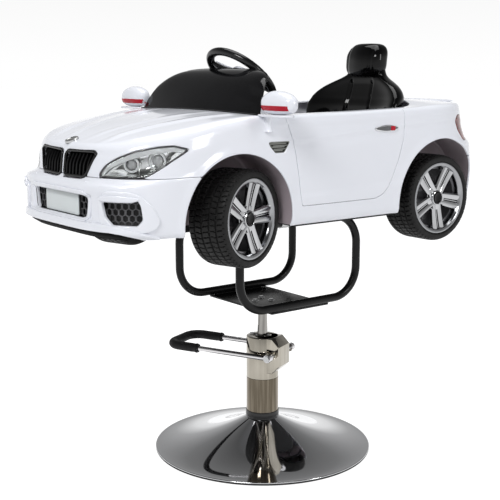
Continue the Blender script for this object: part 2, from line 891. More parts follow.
@dataclass(frozen=True)
class Lens(Finish):
    """Coloured lamp plastic over a prismatic reflector: fine ribs and deeper cells."""

    cells: float = 130.0

    def dress(self, g: Graph) -> Value:
        """Glossy red with lighter and darker cells."""
        cells = g.node("ShaderNodeTexVoronoi", {"Vector": g.places(), "Scale": self.cells},
                       "Distance",
                       feature="F1")
        dark = tuple(c * 0.35 for c in self.colour)
        return g.shader({
            "Base Color": g.ramp(cells, [(0.1, self.colour), (0.8, dark)]),
            "Roughness": g.levels(g.noise(40.0, 3), 0.3, 0.7, 0.06, 0.12),
            "Coat Weight": 0.3, "Coat Roughness": 0.03, "Specular IOR Level": 0.3,
            "Normal": g.bump(cells, 0.00015)})


class Finishes:
    """Every finish of the chair."""

    white = Moulded("body_white", (0.785, 0.80, 0.85), 0.985, (0.09, 0.15), coat=0.3)
    black = Moulded("trim_black", (0.008, 0.008, 0.009), 0.7, (0.38, 0.52), 800.0, 0.00006,
                    specular=0.25)
    gloss = Moulded("gloss_black", (0.003, 0.003, 0.0033), 0.7, (0.06, 0.13), specular=0.14)
    under = Moulded("under_black", (0.003, 0.003, 0.0033), 0.7, (0.70, 0.85), specular=0.06,
                    of_slot="gloss_black")
    seat = Moulded("seat_black", (0.002, 0.002, 0.0022), 0.7, (0.05, 0.10), wave=0.0002,
                   specular=0.22)
    grille = Moulded("grille_black", (0.004, 0.004, 0.0045), 0.7, (0.07, 0.14), specular=0.28)
    liner = Moulded("liner_grey", (0.36, 0.305, 0.33), 0.82, (0.42, 0.58), 420.0, 0.0001)
    plate = Moulded("plate_pale", (0.64, 0.68, 0.68), 0.97, (0.28, 0.38), 500.0, 0.00002)
    ring = Moulded("wheel_black", (0.006, 0.006, 0.0065), 0.75, (0.13, 0.22), specular=0.34)
    pad = Moulded("pad_pale", (0.50, 0.51, 0.57), 0.95, (0.22, 0.32), of_slot="wheel_black")
    chrome = Metal("chrome_disc", (0.66, 0.665, 0.68), (0.03, 0.07), amount=0.18)
    column = Metal("column_chrome", (0.245, 0.212, 0.165), (0.07, 0.14), (0.085, 0.070, 0.050),
                   0.75, 0.8)
    head = Metal("head_metal", (0.40, 0.375, 0.325), (0.05, 0.12), (0.19, 0.17, 0.135), 0.6, 0.3)
    steel = Metal("steel_plain", (0.42, 0.425, 0.43), (0.18, 0.34), amount=0.4)
    ram = Metal("ram_steel", (0.36, 0.35, 0.33), (0.05, 0.12), (0.09, 0.085, 0.08), 0.6, 0.6)
    ballast = Metal("ballast_steel", (0.30, 0.30, 0.31), (0.40, 0.60), (0.16, 0.12, 0.10))
    bright = Metal("bowl_bright", (0.62, 0.63, 0.64), (0.03, 0.08), (0.36, 0.36, 0.36), 0.5)
    bowl = Metal("lamp_bowl", (0.88, 0.89, 0.87), (0.06, 0.14), (0.34, 0.34, 0.34), 0.6,
                 of_slot="bowl_bright")
    rim = Metal("rim_silver", (0.30, 0.305, 0.315), (0.12, 0.20), (0.18, 0.18, 0.19), 0.4)
    rim_bright = Metal("rim_polished", (0.47, 0.475, 0.485), (0.07, 0.14), (0.24, 0.24, 0.25), 0.35,
                       of_slot="rim_silver")
    rim_dark = Metal("rim_inner", (0.30, 0.30, 0.31), (0.30, 0.45), (0.16, 0.16, 0.16), 0.4,
                     of_slot="rim_silver")
    vent = Metal("vent_metal", (0.22, 0.225, 0.21), (0.12, 0.22), (0.08, 0.08, 0.075), 0.6,
                 of_slot="trim_black")
    tyre = Rubber("tyre_black", (0.0055, 0.0055, 0.0055), (0.014, 0.0135, 0.013))
    foot = Rubber("foot_rubber", (0.010, 0.010, 0.010), (0.03, 0.03, 0.03))
    grip = Rubber("grip_rubber", (0.008, 0.008, 0.0085), (0.018, 0.018, 0.018))
    enamel = Enamel("black_enamel", (0.007, 0.007, 0.0072))
    clear = Clear("lens_clear", (0.97, 0.98, 1.0))
    screen = Smoked("screen_smoked", (0.004, 0.004, 0.0045), of_slot="screen_black")
    red = Lens("lens_red", (0.22, 0.004, 0.007))
    milky = Moulded("lamp_milky", (0.82, 0.84, 0.82), 0.80, (0.14, 0.24), 600.0, 0.00003,
                    of_slot="lens_clear")
    dome = Moulded("lamp_dome", (0.42, 0.43, 0.42), 0.8, (0.05, 0.10), specular=0.6,
                   of_slot="lens_clear")
    net = Moulded("mesh_grey", (0.11, 0.11, 0.115), 0.7, (0.20, 0.34), specular=0.4,
                  of_slot="grille_black")
    collar = Moulded("collar_black", (0.007, 0.007, 0.007), 0.7, (0.10, 0.18), specular=0.4,
                     of_slot="grip_rubber")
    chrome_dark = Metal("mirror_glass", (0.42, 0.44, 0.47), (0.01, 0.03), amount=0.1,
                        of_slot="body_white")
    lever = Metal("lever_chrome", (0.62, 0.61, 0.62), (0.04, 0.10), amount=0.25,
                  of_slot="column_chrome")
    stripe = Moulded("stripe_red", (0.46, 0.006, 0.022), 0.8, (0.16, 0.26), specular=0.2,
                     of_slot="lens_red")


FINISH = Finishes()


class Body(Enum):
    """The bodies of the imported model."""

    BASE = "base"
    PISTON = "piston"
    LEVER = "lever"
    CAR = "car"
    STEERING_WHEEL = "steering_wheel"
    TIE_ROD = "tie_rod"
    KNUCKLE_LEFT = "knuckle_left"
    KNUCKLE_RIGHT = "knuckle_right"
    WHEEL_FRONT_LEFT = "wheel_front_left"
    WHEEL_FRONT_RIGHT = "wheel_front_right"
    WHEEL_REAR_LEFT = "wheel_rear_left"
    WHEEL_REAR_RIGHT = "wheel_rear_right"
    DOOR_LEFT = "door_left"
    DOOR_RIGHT = "door_right"


def place(name: str, form: Form, finish: Finish, body: Body = Body.CAR,
          replaces: Sequence[str] = (),
          crease: float = 32.0) -> None:
    """Puts a form into the scene as a piece.

    Args:
        name: The piece's name.
        form: Its mesh, in millimetres.
        finish: What it is dressed in.
        body: The body that it rides on.
        replaces: CAD nodes that it stands for.
        crease: Edges sharper than this angle, in degrees, stay sharp.
    """
    form = welded(form)
    mesh = bpy.data.meshes.new(name)
    mesh.from_pydata(form.points * MM, [], [*form.quads.tolist(), *form.tris.tolist()])
    mesh.validate()
    mesh.materials.append(finish.material())
    mesh.polygons.foreach_set("use_smooth", np.ones(len(mesh.polygons), bool))
    mesh.update()
    mesh.set_sharp_from_angle(angle=math.radians(crease))
    piece = bpy.data.objects.new(name, mesh)
    bpy.context.scene.collection.objects.link(piece)
    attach(piece, body.value)
    if replaces:
        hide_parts(*replaces)
    LOG.info("%s: %d points, %d faces", name, len(mesh.vertices), len(mesh.polygons))


def stand_in(node: str, form: Form, finish: Finish, body: Body = Body.CAR,
             crease: float = 32.0) -> None:
    """Places the look of one CAD node, named after it.

    Args:
        node: The CAD node.
        form: The mesh, in millimetres.
        finish: What it is dressed in.
        body: The body that it rides on.
        crease: Edges sharper than this angle, in degrees, stay sharp.
    """
    place(f"{node}_look", form, finish, body, [node], crease)


def dress(node: str, finish: Finish) -> None:
    """Gives a CAD node's own mesh a finish, through its material slots.

    Args:
        node: The CAD node.
        finish: The finish.
    """
    item = frame["nodes"][node]
    for held in item.material_slots:
        held.link = "OBJECT"
        held.material = finish.material()


# Stage


@dataclass
class Studio:
    """Camera, lamps, floor and surroundings.

    Attributes:
        eye: The camera's place.
        azimuth: Direction that it looks in, turned from +Y towards -X, in degrees.
        dip: How far it looks down, in degrees.
        lens: Focal length on a sensor 36 mm wide.
        floor_half: Half the floor's width.
        floor_z: The floor's height, just below the feet.
    """

    eye: tuple[float, float, float] = (2142.9, -1703.0, 1038.5)
    azimuth: float = 52.24
    dip: float = 10.15
    lens: float = 74.43
    floor_half: float = 40000.0
    floor_z: float = -0.2

    def camera(self) -> None:
        """Puts up the camera."""
        data = bpy.data.cameras.new("camera")
        data.lens, data.sensor_width, data.clip_end = self.lens, 36, 50
        item = bpy.data.objects.new("camera", data)
        item.location = Vector(self.eye) * MM
        item.rotation_euler = (math.radians(90 - self.dip), 0, math.radians(self.azimuth))
        bpy.context.scene.collection.objects.link(item)
        bpy.context.scene.camera = item

    def lamp(self, name: str, at: Sequence[float], aim: Sequence[float], size: tuple[float, float],
             power: float) -> None:
        """Puts up a soft rectangular lamp, in metres, turned towards a point."""
        data = bpy.data.lights.new(name, "AREA")
        data.shape, data.size, data.size_y, data.energy = "RECTANGLE", size[0], size[1], power
        item = bpy.data.objects.new(name, data)
        item.location = at
        item.rotation_euler = (Vector(aim) - Vector(at)).to_track_quat("-Z", "Y").to_euler()
        item.visible_camera = False
        bpy.context.scene.collection.objects.link(item)

    def surroundings(self) -> None:
        """White where the camera sees past the object, greyer above, where polished metal looks."""
        world = bpy.data.worlds.new("studio")
        world.use_nodes = True
        bpy.context.scene.world = world
        g = Graph(world.node_tree)
        seen = g.seen()
        height = g.axis(2, g.node("ShaderNodeTexCoord", out="Generated"))
        sky = g.ramp(height, [(0.0, (1, 1, 1)), (0.10, (0.92, 0.92, 0.92)),
                              (0.24, (0.50, 0.50, 0.50)), (0.50, (0.24, 0.24, 0.24)),
                              (0.80, (0.10, 0.10, 0.10)), (1.0, (0.17, 0.17, 0.18))])
        shown = g.node("ShaderNodeBackground", {"Color": sky, "Strength": 1.0})
        lit = g.node("ShaderNodeBackground", {"Color": (0.95, 0.965, 1.0, 1), "Strength": 0.40})
        g.finish(g.node("ShaderNodeMixShader", {0: seen, 1: lit, 2: shown}),
                 "ShaderNodeOutputWorld")

    def floor(self) -> None:
        """A pale floor that keeps the shadow and runs out into the white of the surroundings."""
        span = [-self.floor_half, self.floor_half]
        form = sheet(np.stack(np.meshgrid(span, span, [self.floor_z], indexing="ij"), -1)[:, :, 0])
        mesh = bpy.data.meshes.new("studio_floor")
        mesh.from_pydata(form.points * MM, [], form.quads.tolist())
        material = bpy.data.materials.new("studio_floor")
        material.use_nodes = True
        g = Graph(material.node_tree)
        seen = g.seen()
        matt = g.node("ShaderNodeBsdfDiffuse", {"Color": (0.42, 0.42, 0.42, 1)})
        glow = g.node("ShaderNodeEmission", {"Color": (1, 1, 1, 1), "Strength": 0.88})
        white = g.node("ShaderNodeAddShader", {0: matt, 1: glow})
        plain = g.node("ShaderNodeBsdfDiffuse", {"Color": (0.80, 0.80, 0.80, 1)})
        g.finish(g.node("ShaderNodeMixShader", {0: seen, 1: plain, 2: white}))
        mesh.materials.append(material)
        item = bpy.data.objects.new("studio_floor", mesh)
        bpy.context.scene.collection.objects.link(item)

    def build(self) -> None:
        """Puts up the whole stage."""
        scene = bpy.context.scene
        scene.view_settings.view_transform = "Standard"
        self.camera()
        self.surroundings()
        self.floor()
        self.lamp("key", (1.5, -3.0, 3.2), (0, 0, 0.75), (1.3, 1.0), 79)
        self.lamp("fill", (3.6, 1.2, 2.2), (0, 0, 0.7), (0.7, 1.8), 38)
        self.lamp("top", (-0.4, 0.2, 3.6), (0, 0, 0.8), (2.2, 2.2), 53)


# The car's body


@dataclass
class CarBody:
    """The moulded body: one surface, cut into panels.

    Rows of deck: place along the car as a share of the half length; height of the middle and of
    the edge of the top surface and radius of the shoulder, as shares of the height. Rows of side:
    height share, half width, nose reach, tail reach, and exponent of the plan's superellipse.
    """

    half_len: float = 602.0
    half_w: float = 271.0
    sill: float = 662.0
    height: float = 268.0
    nose_run: float = 272.0
    nose_height: float = 160.0
    spine: float = 0.7
    arch_y: tuple[float, float] = (-278.0, 398.0)
    arch_r: tuple[float, float] = (154.0, 161.0)
    axle_z: float = 685.0
    deck: tuple[tuple[float, ...], ...] = (
        (-1.00, 0.715, 0.700, 0.045), (-0.965, 0.745, 0.715, 0.05), (-0.925, 0.775, 0.735, 0.08),
        (-0.83, 0.850, 0.805, 0.12), (-0.665, 0.935, 0.885, 0.12), (-0.50, 0.985, 0.945, 0.10),
        (-0.36, 1.000, 0.972, 0.06), (-0.25, 1.000, 0.968, 0.04), (0.00, 1.000, 0.974, 0.04),
        (0.40, 1.005, 0.993, 0.04), (0.52, 1.020, 1.000, 0.05), (0.66, 1.065, 1.012, 0.06),
        (0.85, 1.045, 1.010, 0.05), (0.95, 1.010, 0.995, 0.04), (1.00, 0.985, 0.980, 0.04))
    side: tuple[tuple[float, ...], ...] = (
        (0, 0.966, 0.975, 0.972, 4), (0.04, 0.982, 0.990, 0.985, 4), (0.15, 0.989, 1.0, 0.994, 4),
        (0.30, 0.996, 1.0, 0.998, 4), (0.45, 1.0, 1.0, 1.0, 4), (0.62, 1.0, 0.998, 0.996, 3.9),
        (0.70, 1.0, 0.980, 0.986, 3.2), (0.82, 0.998, 0.976, 0.970, 3.0),
        (0.93, 0.992, 0.971, 0.960, 3.0), (1, 0.985, 0.963, 0.955, 3.0))
    seam: float = 0.35
    bumper_top: float = 794.0

    def __post_init__(self) -> None:
        """Splits the rows into columns."""
        self._deck = np.array(self.deck)
        self._side = np.array(self.side)
        self._mid = self.half_len - self.nose_run

    def deck_at(self, y: Array) -> Array:
        """Heights of the middle and the edge and the shoulder's radius at places along the car."""
        return spread(self._deck[:, 0] * self.half_len, self._deck[:, 1:] * self.height, y)

    def row_at(self, share: Array) -> Array:
        """Width, reaches and exponent of the side at shares of its height."""
        return spread(self._side[:, 0], self._side[:, 1:], share)

    def top(self, x: Array, y: Array) -> Array:
        """Height of the top surface: the edge's height plus a parabola across the car."""
        d = self.deck_at(y)
        share = np.minimum(np.abs(x) / self.half_w, 1)
        return self.sill + d[..., 1] + (d[..., 0] - d[..., 1]) * (1 - share * share)

    def edge(self, turn: Array, row: Array) -> Array:
        """Plan of one row: a quarter superellipse, a straight side and another quarter.

        x = w*cos(a)^(2/n) and y = m + (f - m)*sin(a)^(2/n), where turn runs from -1 at the nose's
        middle over -0.5..0.5 along the straight to 1 at the tail's middle.
        """
        mid, n = self._mid, row[..., 3]
        w, f, t = self.half_w * row[..., 0], self.half_len * row[...,
                                                                 1], self.half_len * row[..., 2]
        a = np.clip(np.abs(turn) * 2 - 1, 0, 1) * QUARTER
        x = w * np.power(np.maximum(np.cos(a), 0), 2 / n)
        reach = np.power(np.maximum(np.sin(a), 0), 2 / n)
        tail = np.where(turn > 0.5, mid + (t - mid) * reach, turn * 2 * mid)
        return np.stack([x, np.where(turn < -0.5, -mid - (f - mid) * reach, tail)], axis=-1)

    def turns(self, count: int) -> Array:
        """Turn values that lie evenly along the plan of a middle row."""
        fine = np.concatenate([np.linspace(-1, -0.5, 3000), np.linspace(-0.5, 0.5, 60)[1:-1],
                               np.linspace(0.5, 1, 3000)])
        run = length_along(self.edge(fine, np.array([1, 1, 1, 3.5])))
        return np.interp(np.linspace(0, run[-1], count), run, fine)

    def surface(self) -> Skin:
        """The whole body as a fine grid: side rows, shoulder rows and top rows, both halves."""
        turn = self.turns(330)
        rows = []
        brow = self.edge(turn, self._side[-1, 1:])
        roll = self.deck_at(brow[:, 1])[:, 2]
        shoulder = self.top(brow[:, 0], brow[:, 1]) - roll
        for h in np.linspace(0, 1, 52):
            rows.append(np.c_[self.edge(turn, self.row_at(h)),
                              self.sill + (shoulder - self.sill) * h])
        ends = self.spine * self.half_len
        spine = np.c_[np.zeros(len(turn)), np.clip(brow[:, 1], -ends, ends)]
        way = spine - brow
        reach = np.linalg.norm(way, axis=1)[:, None]
        for a in np.linspace(0, QUARTER, 9)[1:]:
            q = brow + way / np.maximum(reach, 1e-6) * (roll * (1 - math.cos(a)))[:, None]
            rows.append(np.c_[q, self.top(q[:, 0], q[:, 1]) - roll + roll * math.sin(a)])
        q = rows[-1][:, :2]
        for s in np.linspace(0, 1, 30)[1:]:
            p = q + (spine - q) * s
            rows.append(np.c_[p, self.top(p[:, 0], p[:, 1])])
        return self.sculpted(skin_of(welded(both(sheet(np.stack(rows, axis=1))), 0.01)))

    def sculpted(self, skin: Skin) -> Skin:
        """Adds the pressed forms: each moves points along their normals by a smooth height."""
        p, n = skin.points, skin.normals
        x, y, z = np.abs(p[:, 0]), p[:, 1], p[:, 2]
        lift = np.zeros(len(p))
        side = smooth_step(0.35, 0.8, np.abs(n[:, 0])) * (z < 925)
        # Character line below the belt, from the front arch to the tail light
        line = np.interp(y, [-240, -100, 220, 480, 560], [868, 862, 884, 895, 880])
        fade = smooth_step(-250, -150, y) * smooth_step(560, 470, y)
        lift += side * fade * 2.2 * smooth_step(-9, 0, line - z) * hump(np.maximum(z - line, 0), 22)
        lift -= side * fade * 2.0 * hump(z - (line - 9), 9)
        lift += side * fade * 1.6 * hump(z - np.interp(y, [-150, 250], [901, 911]), 6)
        # Sill crease between the arches
        low = np.interp(y, [-130, 240], [724, 738])
        between = smooth_step(-128, -100, y) * smooth_step(245, 220, y)
        lift += side * between * 2.2 * smooth_step(8, -4, z - low)
        # Flared lips of the wheel arches
        for at, r in zip(self.arch_y, self.arch_r):
            gap = np.hypot(y - at, z - self.axle_z) - r
            lift += smooth_step(0.2, 0.7, np.abs(n[:, 0])) * 3.0 * hump(gap - 2, 13) * (z < 890)
        # Power lines of the bonnet, which run together towards the grilles
        bonnet = (n[:, 2] > 0.3) * smooth_step(-232, -262, y) * smooth_step(-575, -500, y)
        for start, end, high in ((112, 205, 3.2), (40, 118, 1.4)):
            mid = start + (end - start) * (y + 585) / 355
            lift += bonnet * high * smooth_step(-26, 0, x - mid) * smooth_step(16, 0, x - mid)
        # Ledge above the plate, lip below the intakes and the sunken field between them
        nose = smooth_step(-0.15, -0.55, n[:, 1])
        lift += nose * (6.0 * hump(z - 771, 13) * smooth_step(262, 215, x)
                        + 5.0 * hump(z - 677, 8) * smooth_step(250, 200, x))
        lift -= nose * 8.0 * smooth_step(0, -9, np.maximum(np.abs(z - 728) - 31, x - 144))
        return Skin(p + n * lift[:, None], n, skin.tris)

    def nose(self, x: Array, z: Array, tail: bool = False) -> Array:
        """Place of the front surface, or of the rear one, over a spot seen along the car.

        With w, f and n of the row at height z: y = -(m + (f - m)*(1 - (x/w)^n)^(1/n)).
        """
        x, z = np.broadcast_arrays(np.abs(np.asarray(x, float)), np.asarray(z, float))
        way, reach_column = (1, 2) if tail else (-1, 1)
        y = np.full(x.shape, way * self.half_len)
        for _ in range(3):
            brow = self.top(x, y) - self.deck_at(y)[..., 2]
            row = self.row_at(np.clip((z - self.sill) / (brow - self.sill), 0, 1))
            w, f, n = self.half_w * row[..., 0], self.half_len * row[..., reach_column], row[..., 3]
            share = np.clip(1 - np.power(np.clip(x / w, 0, 1), n), 0, 1)
            y = way * (self._mid + (f - self._mid) * np.power(share, 1 / n))
        return y

    def on_nose(self, line: Array, back: float | Array = 0.0) -> Array:
        """Points of an outline seen from the front, on the front surface or so far behind it."""
        return np.c_[line[:, 0], self.nose(line[:, 0], line[:, 1]) + back, line[:, 1]]

    def bend(self) -> tuple[Array, Array]:
        """Angles in the nose's superellipse and the lengths along it, from the middle outwards."""
        angle = np.linspace(QUARTER, 0, 1500)
        reach = self.radius_at(angle)
        line = np.c_[self.half_w * reach * np.cos(angle), self.nose_run * reach * np.sin(angle)]
        return angle, length_along(line)

    @staticmethod
    def radius_at(angle: Array, power: float = 4.0) -> Array:
        """Radius of the unit superellipse |X|^n + |Y|^n = 1 in a direction."""
        return np.power(np.abs(np.cos(angle)) ** power + np.abs(np.sin(angle)) ** power, -1 / power)

    def along(self, x: Array, y: Array) -> Array:
        """Length along the nose from its middle to a place."""
        angle, run = self.bend()
        turn = np.arctan2((-y - self._mid) / self.nose_run, np.abs(x) / self.half_w)
        return np.interp(-turn, -angle, run)

    def spot(self, u: Array, z: Array) -> Array:
        """Point of the nose at a length along it and a height."""
        angle, run = self.bend()
        turn = np.interp(u, run, angle)
        row = self.row_at(np.clip((z - self.sill) / self.nose_height, 0, 1))
        reach = self.radius_at(turn)
        x = self.half_w * row[..., 0] * reach * np.cos(turn)
        y = -self._mid - (self.half_len * row[..., 1] - self._mid) * reach * np.sin(turn)
        return np.stack([x, y, np.asarray(z, float) + 0 * x], -1)

    def side_x(self, y: Array, z: Array) -> Array:
        """Half width of the body at a place along the car and a height."""
        y, z = np.broadcast_arrays(np.asarray(y, float), np.asarray(z, float))
        d = self.deck_at(y)
        row = self.row_at(np.clip((z - self.sill) / (d[..., 1] - d[..., 2]), 0, 1))
        reach = np.where(y < 0, row[..., 1], row[..., 2]) * self.half_len - self._mid
        share = np.clip((np.abs(y) - self._mid) / reach, 0, 1)
        return self.half_w * row[..., 0] * np.power(1 - np.power(share, row[..., 3]),
                                                    1 / row[..., 3])


def drawn(corners: Sequence[Sequence[float]], radii: Sequence[float], steps: int) -> Array:
    """A dataclass field that holds a rounded outline."""
    return field(default_factory=lambda: filleted(corners, radii, steps))


@dataclass
class Openings:
    """Outlines of the panels and openings, each as a signed distance that is negative inside it."""

    door: Array = drawn(
        [(-150, 966), (-142, 911), (-123.5, 861), (-109, 790), (-95, 704), (148, 704), (178, 713),
         (202, 740), (229.5, 798), (248, 856), (254, 908), (240, 966)],
        [0, 60, 70, 90, 7, 60, 50, 60, 90, 80, 60, 0], 6)
    lamp: Array = drawn(
        [(-265, 796), (-245, 822), (-216, 839), (-173, 855), (-126, 864), (-94, 866), (-61, 856),
         (-81, 841), (-110, 820), (-143, 799), (-163, 796)],
        [5, 60, 80, 90, 70, 30, 4, 40, 70, 40, 30], 6)
    grille: Array = drawn(
        [(3.5, 787), (101, 789), (131, 845), (122, 852), (3.5, 849)], [13, 22, 4, 8, 14], 8)
    intake: Array = drawn(
        [(-119, 702), (119, 702), (128, 756), (-128, 756)], [16, 16, 14, 14], 8)
    fog: Array = drawn(
        [(206, 694), (263, 692), (275, 706), (271, 738), (264, 751), (252, 746), (178, 746),
         (187, 711)],
        [8, 8, 8, 30, 5, 12, 5, 20], 8)
    frame: Array = drawn(
        [(186, 680), (244, 679), (284, 680), (304, 689), (311, 704), (294, 734), (268, 759),
         (244, 767), (196, 768), (170, 752), (174, 706)],
        [16, 60, 30, 10, 14, 60, 40, 40, 20, 10, 20], 8)
    fin: Array = drawn(
        [(163, 750), (192, 758), (223, 758.5), (256, 755), (272, 751), (246, 748.5), (217, 749)],
        [3, 14, 40, 30, 3, 20, 40], 8)
    vent: Array = drawn(
        [(-198, 862), (-192, 850), (-179, 836), (-151, 836), (-133, 862)], [2, 6, 6, 5, 2], 4)
    tail: Array = drawn(
        [(478, 906), (460, 893), (468, 868), (500, 836), (585, 836), (585, 906)],
        [6, 7, 20, 10, 0, 0], 5)
    cockpit: Array = drawn(
        [(-234, -206), (234, -206), (234, 392), (-234, 392)], [40, 40, 146, 146], 12)

    @staticmethod
    def lamp_plane(x: Array, y: Array) -> tuple[Array, Array]:
        """Places across the headlight and in front of it, which faces 50 degrees to the side."""
        return 0.7660 * x + 0.6428 * y, 0.6428 * x - 0.7660 * y

    def gaps(self, p: Array, body: CarBody) -> dict[str, Array]:
        """Signed distances of points to every opening and panel.

        Outlines lie in four planes: seen from the front, from the side, along the headlight, and
        unrolled along the nose, where u is the length along it from its middle.

        Args:
            p: The points.
            body: The body that they lie on.

        Returns:
            For each name, the distances, negative inside.
        """
        x, y, z = np.abs(p[:, 0]), p[:, 1], p[:, 2]
        s, forward = self.lamp_plane(x, y)
        u = np.where(y < -330, body.along(x, np.minimum(y, -331)), 400.0)
        xz, yz, uz = np.c_[x, z], np.c_[y, z], np.c_[u, z]
        arches = [np.maximum(np.hypot(y - at, z - body.axle_z) - r, 139 - x)
                  for at, r in zip(body.arch_y, body.arch_r)]
        return {
            "cockpit": polygon_gap(np.c_[x, y], self.cockpit),
            "arches": np.minimum(*arches),
            "door": np.maximum(polygon_gap(yz, self.door), 225 - x),
            "boot": np.maximum.reduce([x - 190, 452 - y, 905 - z]),
            "lamp": np.maximum(polygon_gap(np.c_[s, z], self.lamp), 440 - forward),
            "grille": np.maximum(polygon_gap(xz, self.grille), y + 500),
            "intake": np.maximum(polygon_gap(xz, self.intake), y + 480),
            "fog": polygon_gap(uz, self.fog),
            "frame": np.maximum(polygon_gap(uz, self.frame), -8.0 - polygon_gap(uz, self.fog)),
            "fin": polygon_gap(uz, self.fin),
            "lip": z - np.interp(u, [0, 190, 220, 246, 272, 300, 400],
                                 [694, 694, 690, 683, 675, 664, 640]),
            "chin": z - np.interp(u, [0, 170, 200, 225, 250, 300, 400],
                                  [680, 680, 680, 677, 670, 652, 640]),
            "vent": np.maximum(polygon_gap(yz, self.vent), 250 - x),
            "tail": np.maximum(polygon_gap(yz, self.tail), 108 - x),
            "front": np.maximum(z - body.bumper_top, y + 278),
            "rear": np.maximum(z - body.bumper_top, 398 - y),
        }


@dataclass
class Panels:
    """The mouldings that the body's surface is cut into."""

    body: CarBody = field(default_factory=CarBody)
    openings: Openings = field(default_factory=Openings)
    wall: float = 4.0
    edge: float = 1.2

    def __post_init__(self) -> None:
        """Makes the surface and its distances once."""
        self.seam, self.wide_seam = self.body.seam + self.edge, 2 * self.body.seam + self.edge
        self.skin = self.body.surface()
        self.gap = self.openings.gaps(self.skin.points, self.body)

    def moulding(self, *limits: Array) -> Form:
        """The part of the surface where every limit is negative, as a moulding."""
        return self.skin.trimmed(np.maximum.reduce(limits)).panel(self.wall, self.edge)

    def outside(self, gap: float, *names: str) -> list[Array]:
        """Limits that leave a gap round each named opening."""
        return [gap - self.gap[name] for name in names]

    def shell(self) -> Form:
        """Bonnet, wings, sides and rear deck in one moulding."""
        return self.moulding(
            *self.outside(1.0, "cockpit"), *self.outside(self.edge, "arches"),
            *self.outside(self.seam, "front", "rear", "door", "boot", "lamp", "grille", "vent",
                          "tail"))

    def front_bumper(self) -> Form:
        """Front bumper with its openings and the walls behind their edges."""
        return self.moulding(
            self.gap["front"] + self.seam, *self.outside(0.6, "chin"),
            *self.outside(self.edge, "arches", "intake", "fog"),
            *self.outside(self.seam, "lamp", "grille"))

    def raised(self, cut: Array, lift: float, wall: float, edge: float) -> Form:
        """A patch of the surface, lifted off it, with rounded edges."""
        skin = self.skin.trimmed(cut)
        return skin.moved(skin.normals * (lift, lift, 0)).panel(wall, edge)

    def trims(self) -> Form:
        """Frames round the three intakes, the fins above the outer two and the lip of the chin."""
        g = self.gap
        return joined(self.raised(np.maximum(g["frame"], 1.2 - g["fog"]), 5.4, 8.5, 2.2),
                      self.raised(g["fin"], 9.5, 11.0, 2.2),
                      self.raised(np.maximum(g["intake"] - 8.5, 1.0 - g["intake"]), 4.0, 7.0, 1.8),
                      self.raised(np.maximum(g["lip"], 0.4 - g["chin"]), 9.0, 11.0, 2.4))

    def chin(self) -> Form:
        """Black undertray's edge below the chin."""
        g = self.gap
        cut = np.maximum.reduce([g["chin"] + 0.6, g["front"] + 2, self.edge - g["arches"]])
        skin = self.skin.trimmed(cut)
        return skin.moved(skin.normals * (-2, -2, 0)).panel(self.wall, self.edge)

    def tub(self) -> Form:
        """White wall below the cockpit's edge, behind the left door and beside the seat."""
        line = filleted([(60, 395), (237, 395), (237, 257)], [0, 146, 0], 12, closed=False)
        away = line - (0, 250)
        outer = line + 3 * away / np.linalg.norm(away, axis=1)[:, None]
        high = self.body.top(line[:, 0], line[:, 1]) - 5.0
        low = np.full(len(line), 856.0)
        grid = np.stack([np.c_[line, low], np.c_[line, high], np.c_[outer, high],
                         np.c_[outer, low]], axis=1)
        return joined(sheet(grid, wrap_v=True), cap(grid[0], (-1, 0, 0)),
                      cap(grid[-1], (0, -1, 0))).solid()

    def rear_bumper(self) -> Form:
        """Rear bumper."""
        return self.moulding(self.gap["rear"] + self.seam, *self.outside(self.edge, "arches"))

    def door(self) -> Form:
        """Left door: its outer skin with the top rail, an inner card and the walls between them."""
        outer = self.moulding(self.gap["door"] + self.wide_seam, *self.outside(1.0, "cockpit"),
                              -self.skin.points[:, 0])
        box = filleted([(-66, 712), (146, 712), (174, 722), (196, 748), (222, 800), (240, 858),
                        (246, 905), (244, 922), (-66, 922)], [8, 40, 40, 50, 80, 60, 20, 6, 6], 5)
        card = slab(box, 235.5, 263.0, 3.0, 1.0).standing()
        pocket = rounded_box((6, 120, 34), 2.8).moved((236.0, 70, 850))
        return joined(outer, card, pocket)

    def boot(self) -> Form:
        """Boot lid, without its lip."""
        return self.moulding(self.gap["boot"] + self.wide_seam)

    def region(self, name: str, inside: float) -> Skin:
        """The left part of the surface within an opening."""
        return self.skin.trimmed(np.maximum(self.gap[name] + inside, -self.skin.points[:, 0]))


@dataclass
class BodyShell:
    """Mouldings of the car in white, with their inner walls."""

    panels: Panels

    def build(self) -> None:
        """Places the panels."""
        cut = self.panels
        door = cut.door()
        for node, form, body in (
                ("body_shell", joined(cut.shell(), both(cut.tub())), Body.CAR),
                ("front_bumper", joined(cut.front_bumper(), cut.trims()), Body.CAR),
                ("rear_bumper", cut.rear_bumper(), Body.CAR),
                ("boot_lid", joined(cut.boot(), self.spoiler()), Body.CAR),
                ("door_left", door, Body.DOOR_LEFT),
                ("door_right", door.mirrored(), Body.DOOR_RIGHT)):
            stand_in(node, form, FINISH.white, body)

    def spoiler(self) -> Form:
        """Lip on the boot lid: a flattened bar along its rear edge, thinner towards its ends."""
        x = np.linspace(-176, 176, 61)
        y = self.panels.body.nose(x, np.full(len(x), 930.0), tail=True) - 9
        z = self.panels.body.top(x, y) + 4.0
        thick = 7.6 * np.clip(1 - np.abs(x / 178) ** 8, 0.2, 1)
        return tube(np.c_[x, y, z], thick, (0, 0, 1), 20, flat=0.62)


